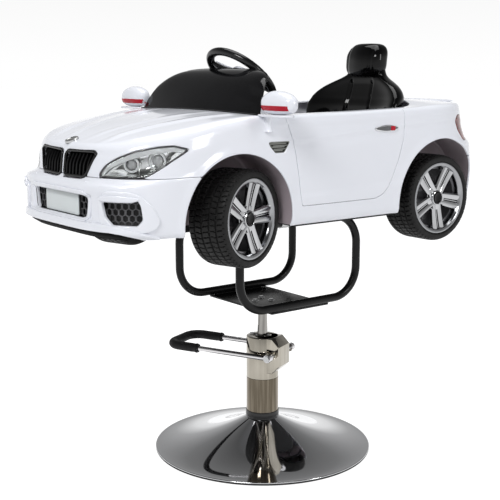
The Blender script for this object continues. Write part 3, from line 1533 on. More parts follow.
@dataclass
class Lamps:
    """Headlights with their bowls, and tail lights.

    Attributes:
        panels: The body's mouldings.
        facing: Direction of the light units, turned from +X, in degrees.
        units: Middle and radius of each light unit.
    """

    panels: Panels
    facing: float = -50.0
    units: tuple[tuple[tuple[float, float, float], float], ...] = (
        ((199.0, -524.0, 823.5), 15.5), ((231.0, -478.0, 831.5), 18.0))

    def lens(self) -> Form:
        """Clear cover, flush with the body."""
        return self.panels.region("lamp", 1.25).panel(2.5, 0.9)

    def bucket(self) -> Form:
        """Housing: a wall round the opening, and a rear face that dips towards its middle."""
        skin, holes = self.panels.region("lamp", 3.4), self.panels.openings
        p = skin.points
        across, _ = holes.lamp_plane(p[:, 0], p[:, 1])
        depth = 8 + 22 * smooth_step(0, 18, -polygon_gap(np.c_[across, p[:, 2]], holes.lamp))
        back = p - np.array([0.643, -0.766, 0]) * depth[:, None]
        return joined(Form(back, tris=skin.tris), self.wall(skin, p - skin.normals * 4.5, back))

    @staticmethod
    def wall(skin: Skin, front: Array, back: Array) -> Form:
        """Quads between the rims of two surfaces with the same corners, turned inwards."""
        edges, _ = skin.rim()
        n = len(front)
        return packed(Form(np.vstack([front, back]),
                           np.c_[edges[:, 0], edges[:, 1], edges[:, 1] + n, edges[:, 0] + n]))

    def projectors(self) -> tuple[Form, Form, Form]:
        """Round bowls, milky rings and clear domes of the two light units."""
        bowls, rings, domes = [], [], []
        for where, size in self.units:
            bowl = lathe([(size * 1.2, 2), (size * 1.15, -2), (size * 0.9, -12), (0.5, -20)],
                         48).flipped()
            ring = lathe(oval((size, 2), (2.6, 2.2), 24), 56, closed=True)
            b = np.linspace(0, QUARTER, 9)
            dome = lathe(np.c_[size * 0.72 * np.cos(b), -2 + size * 0.42 * np.sin(b)], 48)
            for group, form in ((bowls, bowl), (rings, ring), (domes, dome)):
                group.append(form.turned("y", 90).turned("z", self.facing).moved(where))
        return joined(*bowls), joined(*rings), joined(*domes)

    def brow(self) -> Form:
        """Milky strip along the upper edge of the headlight."""
        region = self.panels.region("lamp", 4.0)
        p = region.points
        across, _ = self.panels.openings.lamp_plane(p[:, 0], p[:, 1])
        top = spread([-265, -245, -216, -173, -126, -94, -61], [792, 820, 838, 854, 863, 866, 857],
                     across)
        strip = region.trimmed((top - 13) - p[:, 2])
        return strip.moved(strip.normals * -5.0).panel(3.0, 1.0)

    def build(self) -> None:
        """Places the lamps."""
        lens = self.lens()
        stand_in("headlight_left", lens, FINISH.clear)
        stand_in("headlight_right", lens.mirrored(), FINISH.clear)
        bowls, rings, domes = self.projectors()
        buckets = both(joined(self.bucket(), bowls))
        place("headlight_buckets", buckets, FINISH.bowl, Body.CAR, ["headlight_bowls"])
        place("headlight_rings", both(joined(rings, self.brow())), FINISH.milky)
        place("headlight_domes", both(domes), FINISH.dome)
        tail = self.panels.region("tail", 1.9).panel(7.0, 1.2)
        stand_in("tail_lights", both(tail), FINISH.red)


@dataclass
class NoseParts:
    """Radiator grilles, meshes, number plate, splitter and side vents."""

    panels: Panels

    def grilles(self) -> Form:
        """Two frames with upright bars, whose upper ends lean back, and a dark wall behind them."""
        body = self.panels.body
        line = self.panels.openings.grille
        centre = line.mean(0)
        inner = centre + (line - centre) * np.array([0.945, 0.91])
        forms = [tube(body.on_nose(inner, 0.8), 3.6, (0, 1, 0.01), 12, closed=True)]
        for x in np.linspace(15, 117, 8):
            low = 789 if x < 95 else 789 + (x - 95) * 1.9
            z = np.linspace(low, 847, 25)
            bar = body.on_nose(np.c_[np.full(25, x), z], 5.0 + 7.0 * smooth_step(815, 847, z))
            forms.append(tube(bar, 4.6, (1, 0, 0.01), 8, flat=0.34))
        forms.append(cap(body.on_nose(inner, 15), (0, -1, 0)))
        return both(joined(*forms))

    @staticmethod
    def honeycomb(outline: Array, start: Sequence[float], cell: float,
                  spot: Callable[[Array], Array],
                  bar: float = 0.55) -> Form:
        """Thin bars along the sides of hexagons, where their middles lie inside an outline.

        Args:
            outline: The opening, in a plane.
            start: Middle of one hexagon in that plane.
            cell: Distance between two hexagons.
            spot: Gives the place in space of points of the plane.
            bar: Half the width of a bar.

        Returns:
            The bars, without those that two hexagons share twice.
        """
        side = cell / math.sqrt(3)
        i, j = np.meshgrid(np.arange(-24, 25), np.arange(-24, 25), indexing="ij")
        mid = np.stack([(i + j / 2.0) * cell, j * side * 1.5], -1).reshape(-1, 2) + tuple(start)
        a = np.radians(30 + 60 * np.arange(6))
        corner = mid[:, None] + side * np.stack([np.cos(a), np.sin(a)], -1)
        ends = np.stack([corner, np.roll(corner, -1, 1)], 2).reshape(-1, 2, 2)
        ends = ends[polygon_gap(ends.mean(1), outline) < -1.0]
        key = np.round(ends.mean(1) * 10).astype(int)
        ends = ends[np.unique(key, axis=0, return_index=True)[1]]
        d = unit(ends[:, 1] - ends[:, 0])
        n = np.c_[-d[:, 1], d[:, 0]] * bar
        flat = np.stack([ends[:, 0] - n, ends[:, 1] - n, ends[:, 1] + n, ends[:, 0] + n],
                        1).reshape(-1, 2)
        front = spot(flat)
        f = np.arange(len(ends))[:, None] * 4 + np.arange(4)
        m = len(front)
        quads = [f] + [np.c_[f[:, b], f[:, a], f[:, a] + m, f[:, b] + m] for a, b in
                       ((0, 1), (1, 2), (2, 3), (3, 0))]
        return Form(np.vstack([front, front + (0, 4, 0)]), np.concatenate(quads))

    def tunnel(self, edge: Array, way: Sequence[float], depth: float) -> Form:
        """Walls behind an opening's edge, and the dark face at their end."""
        way = np.array(way)
        back = edge + way * depth
        return joined(sheet(np.stack([back, edge + way * 3], axis=1), wrap_u=True), cap(back, -way))

    def meshes(self) -> tuple[Form, Form]:
        """Honeycombs in the three intakes, and the dark boxes behind them."""
        body, holes = self.panels.body, self.panels.openings
        inward = np.array([-0.62, 0.785, 0.0])
        middle = self.honeycomb(holes.intake, (0, 728), 17.0, lambda flat: body.on_nose(flat, 13))
        fog = self.honeycomb(holes.fog, (224, 722), 15.5,
                             lambda flat: body.spot(*flat.T) + inward * 9)
        edge = body.spot(*holes.fog.T)
        return (joined(middle, both(fog)), joined(self.tunnel(body.on_nose(holes.intake), (0, 1, 0),
                                                              24),
                                                  both(self.tunnel(edge, inward, 19))))

    @staticmethod
    def plate(half: tuple[float, float], radius: float, thick: float, y: float) -> Form:
        """A blank plate across the nose, with its rear face at y."""
        w, h = half
        line = filleted([(-w, -h), (w, -h), (w, h), (-w, h)], radius, 4)
        return slab(line, 0, thick, 0.8, 0.8).turned("x", 90).moved((0, y, 728))

    def splitter(self) -> Form:
        """Black undertray: a swept plate below the chin with a thin front edge."""
        x = np.linspace(-214, 214, 61)
        y0 = self.panels.body.nose(x, np.full(61, 664.0))
        drop = np.clip(1 - np.abs(x / 214) ** 4, 0, 1)
        section = []
        for back, height in ((6, 663), (6.5, 660), (22, 658.25), (38, 654.4), (60, 652), (70, 654),
                             (70, 663)):
            z = 662 - drop * (662 - height) if height < 660 else np.full(61, height)
            section.append(np.c_[x * (1 - back / 1600), y0 + back, z])
        grid = np.stack(section, axis=1)
        return joined(sheet(grid, wrap_v=True), fan(grid[0]), fan(grid[-1], flip=True))

    def vents(self) -> tuple[Form, Form]:
        """Side vents: a sunken metal tray with a rim and two ribs."""
        line = self.panels.openings.vent
        centre = line.mean(0)
        x = self.panels.body.side_x(line[:, 0], line[:, 1])
        edge = np.c_[x - 0.2, line]
        lip = np.c_[x - 0.4, centre + (line - centre) * np.array([0.93, 0.84])]
        bottom = np.c_[x - 4.5, centre + (line - centre) * np.array([0.88, 0.72])]
        tray = joined(sheet(np.stack([bottom, lip, edge, edge - (4, 0, 0)], 1), wrap_u=True),
                      cap(bottom, (1, 0, 0)))
        ribs = []
        for share in (0.36, 0.66):
            y, z = np.linspace(-186 + 4 * (1 - share), -146 + 8 * share,
                               21), np.full(21, 836 + 26 * share)
            ribs.append(tube(np.c_[self.panels.body.side_x(y, z) - 2.4, y, z], 2.2, (1, 0, 0.01),
                             10))
        return both(tray), both(joined(*ribs))

    def sensors(self) -> Form:
        """Parking-sensor discs in the bumper."""
        discs = []
        for x, z in ((118.0, 781.0), (219.0, 779.0)):
            y = float(self.panels.body.nose(x, z))
            a = math.degrees(math.atan2(x * 0.9, 420))
            disc = lathe([(5.2, -2), (5.2, 0.2), (4.6, 0.7), (0.01, 0.9)], 28)
            proud = 5.2 if x < 200 else 0.0
            discs.append(disc.turned("x", 90).turned("z", a).moved((x, y - proud, z)))
        return both(joined(*discs))

    def badge(self) -> Form:
        """Plain dished disc on the bonnet's tip."""
        y = -563.0
        low, high = (float(self.panels.body.top(0.0, y + d)) for d in (-12, 12))
        tilt = math.degrees(math.atan2(high - low, 24))
        line = [(16.4, -3.0), (16.2, 1.8), (15.0, 2.9), (12.6, 2.9), (11.4, 2.0), (9.5, 2.4),
                (0.01, 2.6)]
        return lathe(line, 56).turned("x", tilt).moved((0, y, (low + high) / 2 + 1.4))

    def build(self) -> None:
        """Places the pieces of the nose."""
        stand_in("front_grilles", self.grilles(), FINISH.grille, Body.CAR, 60)
        nets, boxes = self.meshes()
        stand_in("bumper_meshes", nets, FINISH.net)
        place("intake_boxes", boxes, FINISH.black)
        plate = self.plate((79, 24), 4, 2.4, -590.6)
        stand_in("number_plate", plate, FINISH.plate)
        place("plate_holder", self.plate((82, 26.5), 5, 6, -584.0), FINISH.black)
        splitter = joined(self.splitter(), self.panels.chin())
        stand_in("front_splitter", splitter, FINISH.under)
        place("bonnet_disc", self.badge(), FINISH.steel)
        rims, ribs = self.vents()
        stand_in("side_vents", joined(rims, ribs), FINISH.vent)
        place("sensor_discs", self.sensors(), FINISH.white)


@dataclass
class Screen:
    """Windscreen and the trim at its foot."""

    body: CarBody
    base: tuple[float, float, float] = (252.0, -228.0, 16.0)
    top: tuple[float, float, float] = (206.0, -114.0, -18.0)
    height: float = 100.0
    drop: float = 0.22

    def points(self, u: Array, v: Array) -> Array:
        """Place on the sheet, with u across and v up.

        A straight line from the scuttle to the upper edge in plan, while the height follows the
        sine of v; towards its upper corners the sheet is lower by a share that grows with u^8.

        Args:
            u: Share of the half width.
            v: Share of the height.

        Returns:
            The points.
        """
        x = u * (self.base[0] + (self.top[0] - self.base[0]) * v)
        low = self.base[1] + self.base[2] * u * u
        high = self.top[1] + self.top[2] * u * u
        rise = self.height * (1 - self.drop * np.abs(u) ** 8)
        foot = self.body.top(u * self.base[0], low) - 0.6
        y = low + (high - low) * v * rise / self.height
        return np.stack([x, y, foot + rise * np.sin(QUARTER * v ** 0.92)], -1)

    def sheet_form(self) -> Form:
        """The curved sheet with a rounded edge."""
        u, v = np.meshgrid(np.linspace(-1, 1, 97), np.linspace(0, 1, 33), indexing="ij")
        skin = skin_of(sheet(self.points(u, v)))
        skin = skin.flipped() if skin.normals[:, 1].mean() > 0 else skin
        return skin.moved(skin.normals * -0.3).panel(3.0, 0.8)

    def band(self) -> Form:
        """Moulded bead that stiffens the upper edge from behind."""
        u = np.linspace(-0.985, 0.985, 121)
        p = self.points(u, np.full(121, 0.985))
        return tube(p + (0, 3.0, -1.0), 2.2 * np.clip(1 - np.abs(u) ** 30, 0.3, 1), (0, 0.3, 1), 10)

    def trim(self) -> Form:
        """Black strip in front of the screen's foot."""
        u = np.linspace(-0.995, 0.995, 101)
        y = self.base[1] + self.base[2] * u * u - 4.0
        x = u * self.base[0]
        return tube(np.c_[x, y, self.body.top(x, y) + 1.2], 3.4, (0, 0, 1), 12, flat=0.6)

    def build(self) -> None:
        """Places the screen."""
        stand_in("windscreen", self.sheet_form(), FINISH.screen)
        place("windscreen_bead", self.band(), FINISH.gloss)
        stand_in("scuttle_trim", self.trim(), FINISH.black)


@dataclass
class Mirrors:
    """Door mirrors: a domed shell with a red strip, a plate below it and a foot.

    Attributes:
        middle: Place of the left mirror's own origin.
        shift: Place of its shell from there.
    """

    middle: tuple[float, float, float] = (309.0, -200.0, 952.0)
    shift: tuple[float, float, float] = (-9.0, -9.0, 3.0)

    @staticmethod
    def below(s: Array) -> Array:
        """Depth of the shell's lower half at a share of its width."""
        return 27 * round_end(s, 6) * (1 - 0.12 * np.abs(s))

    def shell(self) -> Form:
        """The shell as sections along the car's width.

        Each section is an oval with a flat underside: y = c - a*cos(t), z = d + b*sin(t), where the
        half sizes a and b follow a rounded arch along the width.
        """
        s = np.sin(np.linspace(-QUARTER, QUARTER, 41))[:, None]
        arch = np.power(np.clip(1 - np.abs(s) ** 2.05, 0, 1), 0.52)
        t = np.radians(np.linspace(-90.0, 270.0, 56))[None, :]
        up = np.sin(t)
        above = 29.5 * arch * (1 - 0.10 * (s + 1) / 2)
        z = np.where(up > 0, above * up, self.below(s) * signed_power(up, 0.75)) - 2
        y = np.minimum(10 - 24 * round_end(s, 3.2) * signed_power(np.cos(t), 0.8), 30)
        return sheet(np.stack([10 + 57 * s + 0 * t, y, z], -1))

    def strip(self) -> Form:
        """Red strip across the front of the shell, a little proud of it."""
        s = np.linspace(-0.94, 0.83, 41)[:, None]
        z = np.linspace(-18.5, -8.0, 6)[None, :]
        up = -np.power(np.clip((-z - 2) / self.below(s), 0, 0.999), 1 / 0.75)
        y = 10 - 24.8 * round_end(s, 3.2) * np.power(np.sqrt(1 - up * up), 0.8)
        front = skin_of(sheet(np.stack([10 + 57 * s + 0 * z, y, z + 0 * s], -1)))
        return (front.flipped() if front.normals[:, 1].mean() > 0 else front).panel(2.0, 0.5)

    def glass(self) -> Form:
        """Mirror face on the rear of the shell."""
        a = circle(48)
        line = np.c_[37 * signed_power(np.cos(a), 0.8), 17 * signed_power(np.sin(a), 0.8)]
        return slab(line, 0, 2.0, 0, 0.8).turned("x", -90).moved((10, 28.6, -1))

    def foot(self) -> Form:
        """Flat plate under the shell and the neck that stands on the body."""
        line = filleted([(-62, -16), (-30, -25), (40, -26), (58, -6), (40, 14), (-52, 6)],
                        [9, 20, 22, 14, 16, 12], 6)
        neck = []
        for t in np.linspace(0, 1, 15):
            waist = math.sin(math.pi * (t * 0.8 + 0.1))
            ring = oval((-46 + 2 * t, 2), (21 - 9.5 * waist, 12 - 3.5 * waist), 32)
            neck.append(np.c_[ring, np.full(32, -66 + 38 * t)])
        grid = np.stack(neck, axis=1)
        return joined(slab(line, -30.5, -25.0, 2.0, 2.0), sheet(grid, wrap_u=True),
                      fan(grid[:, -1]))

    def build(self) -> None:
        """Places the mirrors."""
        at, by = self.middle, self.shift
        shells = joined(self.shell().moved(by), self.foot()).moved(at)
        stand_in("mirrors", both(shells), FINISH.white)
        place("mirror_strips", both(self.strip().moved(by).moved(at)), FINISH.stripe)
        place("mirror_glasses", both(self.glass().moved(by).moved(at)), FINISH.chrome_dark)


@dataclass
class Seat:
    """Bucket seat with a head rest in glossy plastic.

    Rows of back: height, half width, thickness, reach of the side wings and set back.
    """

    back: tuple[tuple[float, ...], ...] = (
        (700, 126, 36, 42, 6), (760, 137, 40, 60, 4), (800, 153, 45, 74, 1), (850, 167, 50, 76, -1),
        (897, 176, 54, 70, -3), (925, 178, 54, 64, -5), (947, 174, 54, 56, -12),
        (962, 163, 52, 48, -14), (978, 141, 50, 38, -16), (992, 111, 48, 27, -17),
        (1002, 87, 46, 19, -17), (1012, 71, 43, 12, -17), (1030, 62, 40, 8, -16))
    rear: float = 386.0

    def backrest(self) -> Form:
        """Front and back of the shell: y = c - t/2*(1 - s^4)^(1/2) - w*|s|^3 and its opposite.

        Two upright channels and a hollow between the wings are pressed into the front.
        """
        rows = np.array(self.back)
        z = np.linspace(700, 1030, 90)
        v = spread(rows[:, 0], rows[:, 1:], z)
        half, thick, wing, back = (v[:, k][:, None] for k in range(4))
        a = circle(384)[None, :]
        s = -np.cos(a)
        depth = thick / 2 * round_end(s, 4) + 0.26 * wing * np.abs(s) ** 3 * round_end(s, 10)
        x = half * s
        y = self.rear - back - thick / 2 - 0.74 * wing * np.abs(s) ** 3
        front = np.sin(a) > 0
        y = y + np.where(front, -depth, depth)
        fade = smooth_step(705, 770, z)[:, None] * smooth_step(1006, 985, z)[:, None]
        lane = 50 - 8 * smooth_step(820, 1000, z)[:, None]
        groove = 4.0 * hump(np.abs(x) - lane, 4.5) * fade
        pad = 3.0 * smooth_step(lane + 4, lane - 3, np.abs(x)) * fade
        y = y + np.where(front, groove + pad, 0)
        grid = np.stack([x, y, z[:, None] + 0 * x], -1)[:, ::-1]
        return joined(sheet(grid, wrap_v=True).solid(), cap(grid[0], (0, 0, -1)),
                      cap(grid[-1], (0, 0, 1)))

    def headrest(self) -> Form:
        """Rounded pillow with a flat face and an overhanging lower edge."""
        v = np.linspace(-QUARTER, QUARTER, 41)[:, None]
        a = circle(96)[None, :]
        up, ring = signed_power(np.sin(v), 0.62), signed_power(np.cos(v), 0.52)
        z = 1051 + 47 * up
        x = (67 - 5 * smooth_step(0.2, 1.0, up)) * ring * signed_power(np.cos(a), 0.62)
        deep = 33 * ring * signed_power(np.sin(a), 0.72)
        y = 373 - 4 * smooth_step(0.2, -1.0, up) + 10 * smooth_step(0.0, 1.0, up) + deep
        y = y + (2.2 * hump(np.abs(x) - 44, 4.0) - 4.0 * hump(x, 26)) * (np.sin(a) < 0) * ring
        return sheet(np.stack([x, y, z + 0 * x], -1), wrap_v=True).solid()

    def cushion(self) -> Form:
        """Rounded block, hollow in the middle, with channels that meet the back's."""
        xs = np.linspace(-1, 1, 81)[:, None]
        ys = np.linspace(0, 1, 61)[None, :]
        x = (128 - 4 * ys) * xs
        edge = round_end(xs, 9) * round_end(1 - ys, 16)
        top = 784 + 20 * np.abs(xs) ** 2.2 - 8 * ys
        groove = 5 * hump(np.abs(x) - 50, 7) * smooth_step(0.02, 0.2, ys)
        grid = np.stack([x, 121 + 219 * ys + 0 * xs, 744 + (top - groove - 744) * edge], -1)
        ring = np.concatenate([grid[:, 0], grid[-1, 1:], grid[-2::-1, -1], grid[0, -2:0:-1]])
        low = ring.copy()
        low[:, 2] = 740
        walls = sheet(np.stack([low, ring], axis=1), wrap_u=True)
        return joined(sheet(grid), walls, cap(low, (0, 0, -1)))

    def build(self) -> None:
        """Places the seat."""
        seat = joined(self.backrest(), self.headrest(), self.cushion())
        stand_in("seat", seat, FINISH.seat)


@dataclass
class Cockpit:
    """Dashboard and steering wheel.

    Attributes:
        centre: The wheel's middle.
        tilt: Slope of its shaft, in degrees.
        rest: Turn of the road wheels at rest, half the steering wheel's own.
    """

    centre: tuple[float, float, float] = (0.0, -71.0, 1009.0)
    tilt: float = 48.0
    rest: float = 16.8

    def along(self, form: Form) -> Form:
        """A form drawn about Z, pointing down the shaft, turned into place."""
        form = form.turned("z", 2 * self.rest).flipped()
        form.points = form.points * (1, 1, -1)
        return form.turned("x", self.tilt - 90).moved(self.centre)

    def ring(self) -> Form:
        """Rim of the wheel, a little fatter at the grips."""
        a = circle(144)
        path = np.c_[94 * np.cos(a), 94 * np.sin(a), np.zeros(len(a))]
        return tube(path, 10.3 + 0.9 * hump(np.sin(a - 0.35), 0.35), (0, 0, 1), 24, closed=True)

    @staticmethod
    def arms(half: Sequence[tuple[float, float]], radii: Sequence[float], steps: int,
             angles: Sequence[float], faces: Sequence[float]) -> Form:
        """Three flat arms of the wheel.

        Args:
            half: Points along one edge, outwards; the other edge is its mirror image.
            radii: Radii at the corners, once round.
            steps: Spans of a corner.
            angles: Directions of the arms.
            faces: Heights of both faces and the radii of their edges.

        Returns:
            The arms.
        """
        line = filleted([(x, -y) for x, y in half] + list(half)[::-1], radii, steps)
        return joined(*[slab(line, *faces).turned("z", angle) for angle in angles])

    def spokes(self) -> Form:
        """Three spokes that widen into the boss, and the shaft with its crank."""
        arms = self.arms([(20, 17), (52, 9.5), (90, 11)], [0, 30, 0, 0, 30, 0], 6, (0, 90, 180),
                         (-4, 5, 2.5, 2.5))
        boss = lathe([(0.01, -6), (28, -6), (30, -4), (30, 2), (29, 4), (20, 6), (20, 22), (19, 24),
                      (0.01, 24)], 64)
        shaft = lathe([(0.01, 20), (8, 20), (8, 378), (0.01, 378)], 32).solid()
        crank = rounded_box((10, 22, 6), 1.0).moved((0, -9, 375))
        pin = lathe([(0.01, 372), (4, 372), (4, 398), (0.01, 398)], 24).moved((0, -18, 0)).solid()
        return joined(arms, boss, shaft, crank, pin)

    def pad(self) -> Form:
        """Pale boss cover with arms that lie on the spokes; its middle is blank."""
        dome = lathe([(0.01, -17.5), (12, -16.8), (22, -14.5), (28, -10.5), (30.5, -6), (30.5, -3),
                      (0.01, -3)],
                     64).solid()
        return joined(dome, self.arms([(22, 13), (50, 7), (83, 7.5)], [0, 24, 3, 3, 24, 0], 5,
                                      (0, 180, 90), (-8.5, -3.5, 2.0, 0)))

    def dashboard(self) -> Form:
        """Dashboard with a cowl in front of the driver."""
        line = filleted([(-210, 844), (-210, 907), (-192, 911), (-148, 905), (-130, 885),
                         (-136, 849),
                         (-154, 809)], [3, 5, 20, 12, 12, 10, 8], 5)[::-1]
        cowl = slab(oval((-176, 897), (26, 26), 64), -75, 75, 5, 5)
        return joined(slab(line, -212, 212, 5, 5).standing().solid(), cowl.standing().solid())

    def build(self) -> None:
        """Places the cockpit's pieces."""
        wheel = self.along(joined(self.ring(), self.spokes()))
        place("steering_ring", wheel, FINISH.ring, Body.STEERING_WHEEL, ["steering_wheel"])
        place("steering_pad", self.along(self.pad()), FINISH.pad, Body.STEERING_WHEEL)
        stand_in("dashboard", self.dashboard(), FINISH.black)


@dataclass
class RoadWheel:
    """One tyre and its rim, drawn with the axle along Z and the outer face at z = 0.

    Rows of ends: name; half the distance between the wheels' origins, their place along the car
    and their height; offset of the outer face along the axle; turn at rest; first spoke's angle.
    """

    ends: tuple[tuple[str, tuple[float, float, float], float, float, float], ...] = (
        ("front", (145.0, -278.0, 685.0), 125.6, 16.8, 93),
        ("rear", (265.0, 398.0, 685.0), 0.0, 0.0, 78))

    def tyre(self) -> Form:
        """Tyre with a tread of staggered blocks.

        The tread's radius is lowered by the greatest of the ring grooves and the cross grooves,
        whose places shift by half a block from row to row.
        """
        line = np.array([
            (88.0, -95.5), (96.4, -96.5), (97.2, -100.0), (101, -102.4), (107, -102.2),
            (111.0, -100.4), (113.6, -97.5), (115.6, -92.5), (116.4, -86), (116.5, -78),
            (116.5, -22), (116.4, -14), (115.6, -7.5), (113.6, -2.5), (111.0, 0.6), (107, 2.3),
            (101, 2.6), (98.0, 1.2), (96.6, -1.5), (96.2, -4.2), (88.0, -5.0)])
        run = length_along(line)
        at = np.unique(np.round(np.r_[np.linspace(0, run[-1], 40),
                                      np.linspace(run[5], run[14], 74)], 3))
        r, z = (np.interp(at, run, column)[None, :] for column in line.T)
        a = circle(440)[:, None]
        tread = smooth_step(109.5, 113.5, r)
        edges = np.array([-97.0, -80.5, -60.5, -39.5, -19.5, -3.0])
        ring = np.zeros_like(z)
        for e in edges[1:-1]:
            ring = np.maximum(ring, smooth_step(2.6, 1.2, np.abs(z - e)))
        row = np.searchsorted(edges, z[0])[None, :]
        blocks = 54
        slant = 0.012 * (z + 50) * np.where(row % 2, 1, -1)
        phase = (a / (2 * math.pi) * blocks + 0.5 * (row % 2) + slant) % 1
        cross = smooth_step(0.10, 0.045, np.abs(phase - 0.5))
        depth = 3.6 * tread * np.maximum(ring, cross)
        depth = depth + 0.5 * smooth_step(99, 101, r) * smooth_step(104, 102, r)
        grid = np.stack([np.cos(a) * (r - depth), np.sin(a) * (r - depth), z + 0 * a], -1)
        return sheet(grid, wrap_u=True).solid()

    def barrel(self) -> Form:
        """Rim with its outer flange and dark inner well."""
        line = [(82, -98), (96, -98.6), (96, -95), (86, -93.5), (86, -6.5), (96.1, -5.5),
                (96.1, -1.4), (95.2, 0.0), (93.2, 0.6), (91.2, 0.2), (87.0, -1.6), (85.4, -4.4),
                (83.6, -7.0), (82.5, -11), (82, -20)]
        return lathe(line, 128, closed=True).solid()

    @staticmethod
    def bar(x: Array, top: Array, section: Sequence[tuple[float, float]],
            middle: Array | float = 0.0,
            wide: Array | float = 1.0) -> Form:
        """A bar along X.

        Args:
            x: Places along it.
            top: Its height at each place.
            section: Outline across it, as places from the middle and heights from the top.
            middle: Sideways place at each place.
            wide: Factor of the section's width at each place.

        Returns:
            The bar with both ends closed.
        """
        grid = np.stack([np.stack([x, middle + wide * s + 0 * x, top + d], -1) for s, d in section],
                        axis=1)
        return joined(sheet(grid, wrap_v=True), cap(grid[0], (-1, 0, 0)),
                      cap(grid[-1], (1, 0, 0))).solid()

    def blade(self, side: int) -> Form:
        """One blade of a pair: a bar with chamfered edges, dished towards the hub."""
        t = np.linspace(0, 1, 15)
        ridge = 0.15 * side
        section = [(-1, -11), (1, -11), (1, -3.0), (ridge + 0.35, 0), (ridge - 0.35, 0), (-1, -3.0)]
        return self.bar(14 + 72.5 * t, -9.5 + 5.2 * t ** 2.2, section, side * (9.4 + 3.6 * t),
                        6.6 + 2.0 * t)

    def rib(self) -> Form:
        """Thin rib in the slot between two blades."""
        t = np.linspace(0, 1, 9)
        return self.bar(20 + 64 * t, -14.0 + 5.0 * t ** 2,
                        [(-1.5, -8), (1.5, -8), (1.0, 0), (-1.0, 0)])

    def spokes(self, phase: float) -> Form:
        """Five pairs of blades, the first at an angle, with the disc that carries them."""
        arm = joined(self.blade(-1), self.blade(1), self.rib())
        arms = [arm.turned("z", phase + 72 * k) for k in range(5)]
        disc = lathe([(8.2, -24), (30, -24), (34.5, -22), (35.5, -17), (34.0, -13.0), (30, -11.2),
                      (8.2, -10.6)], 80, closed=True)
        web = lathe([(8.2, -88), (20, -88), (22, -80), (24, -24), (8.2, -24)], 48, closed=True)
        ring = lathe([(16.7, -6.2), (17.6, -5.6), (19.4, -6.6), (20.4, -9.0), (20.4, -12),
                      (16.7, -12)],
                     64, closed=True)
        return joined(*arms, disc, web, ring)

    def bolts(self) -> Form:
        """Five bolts in sunken seats."""
        seat = lathe([(0.01, -13), (5.8, -13), (5.8, -10.2), (5.0, -10.2), (4.4, -11.0),
                      (0.01, -11.0)],
                     32).solid()
        return joined(*[seat.moved((27, 0, 0)).turned("z", 72 * k) for k in range(5)])

    def hub_cap(self) -> Form:
        """Black cap with a plain dished face."""
        line = [(0.01, -5.2), (9, -5.0), (12.0, -4.2), (13.2, -3.6), (14.6, -3.6), (15.8, -4.4),
                (16.6, -6.5), (16.6, -12), (0.01, -12)]
        return lathe(line, 64).solid()

    def well(self) -> Form:
        """Dark liner seen between the blades."""
        line = [(81.8, -22), (81.8, -90), (20.5, -90), (20.5, -86), (78, -86), (78, -22)]
        return lathe(line, 96, closed=True).solid()

    def build(self) -> None:
        """Places all four wheels."""
        tyre, barrel, well, cap_piece = self.tyre(), self.barrel(), self.well(), self.hub_cap()
        for end, (x, y, z), offset, turn, phase in self.ends:
            bolted = joined(cap_piece, self.bolts().turned("z", phase + 36))
            parts = ((f"tyre_{end}_{{}}_look", tyre, FINISH.tyre, "tyre", 40),
                     (f"rim_{end}_{{}}_barrel", barrel, FINISH.rim, "rim", 32),
                     (f"rim_{end}_{{}}_spokes", self.spokes(phase), FINISH.rim_bright, "", 32),
                     (f"rim_{end}_{{}}_well", well, FINISH.rim_dark, "", 32),
                     (f"rim_{end}_{{}}_cap", bolted, FINISH.gloss, "", 32))
            for hand, side in (("left", 1), ("right", -1)):
                for name, form, finish, node, crease in parts:
                    form = form.turned("y", 90).moved((offset, 0, 0))
                    form = form if side > 0 else form.mirrored()
                    form = form.turned("z", turn).moved((side * x, y, z))
                    stands_for = [f"{node}_{end}_{hand}"] if node else []
                    place(name.format(hand), form, finish, Body(f"wheel_{end}_{hand}"), stands_for,
                          crease)


@dataclass
class Liners:
    """Wheel arch liners: half tubes between the body's edge and the wells' inner walls.

    Rows of wells: place along the car, inner wall's place across it, and radius.
    """

    panels: Panels
    wells: tuple[tuple[float, float, float], ...] = ((-278.0, 112.0, 160.0), (398.0, 155.0, 165.0))

    def build(self) -> None:
        """Places the liners and the skirts below their inner walls."""
        liners, skirts = [], []
        for y, x, r in self.wells:
            a = np.radians(np.linspace(-9, 189, 67))
            yy, zz = y + r * np.cos(a), 685 + r * np.sin(a)
            wide = np.maximum(self.panels.body.side_x(yy, zz) - 5.5 - x, 30)
            outer = np.stack([np.c_[x + wide * share, yy, zz] for share in np.linspace(0, 1, 7)], 1)
            skin = skin_of(sheet(outer))
            inward = (skin.normals[:, 1] * (y - skin.points[:, 1])).sum() > 0
            wall = np.concatenate([outer[:, 0], [[x, y - r, 659.5]], [[x, y + r, 659.5]]])
            liners += [(skin if inward else skin.flipped()).panel(3.0, 0.6), cap(wall, (1, 0, 0)),
                       cap(wall - (2.5, 0, 0), (-1, 0, 0))]
            skirts.append(rounded_box((3, 2 * r - 60, 24), 1.0).moved((x - 3, y, 654)))
        stand_in("arch_liners", both(joined(*liners)), FINISH.liner)
        place("arch_skirts", both(joined(*skirts)), FINISH.black)


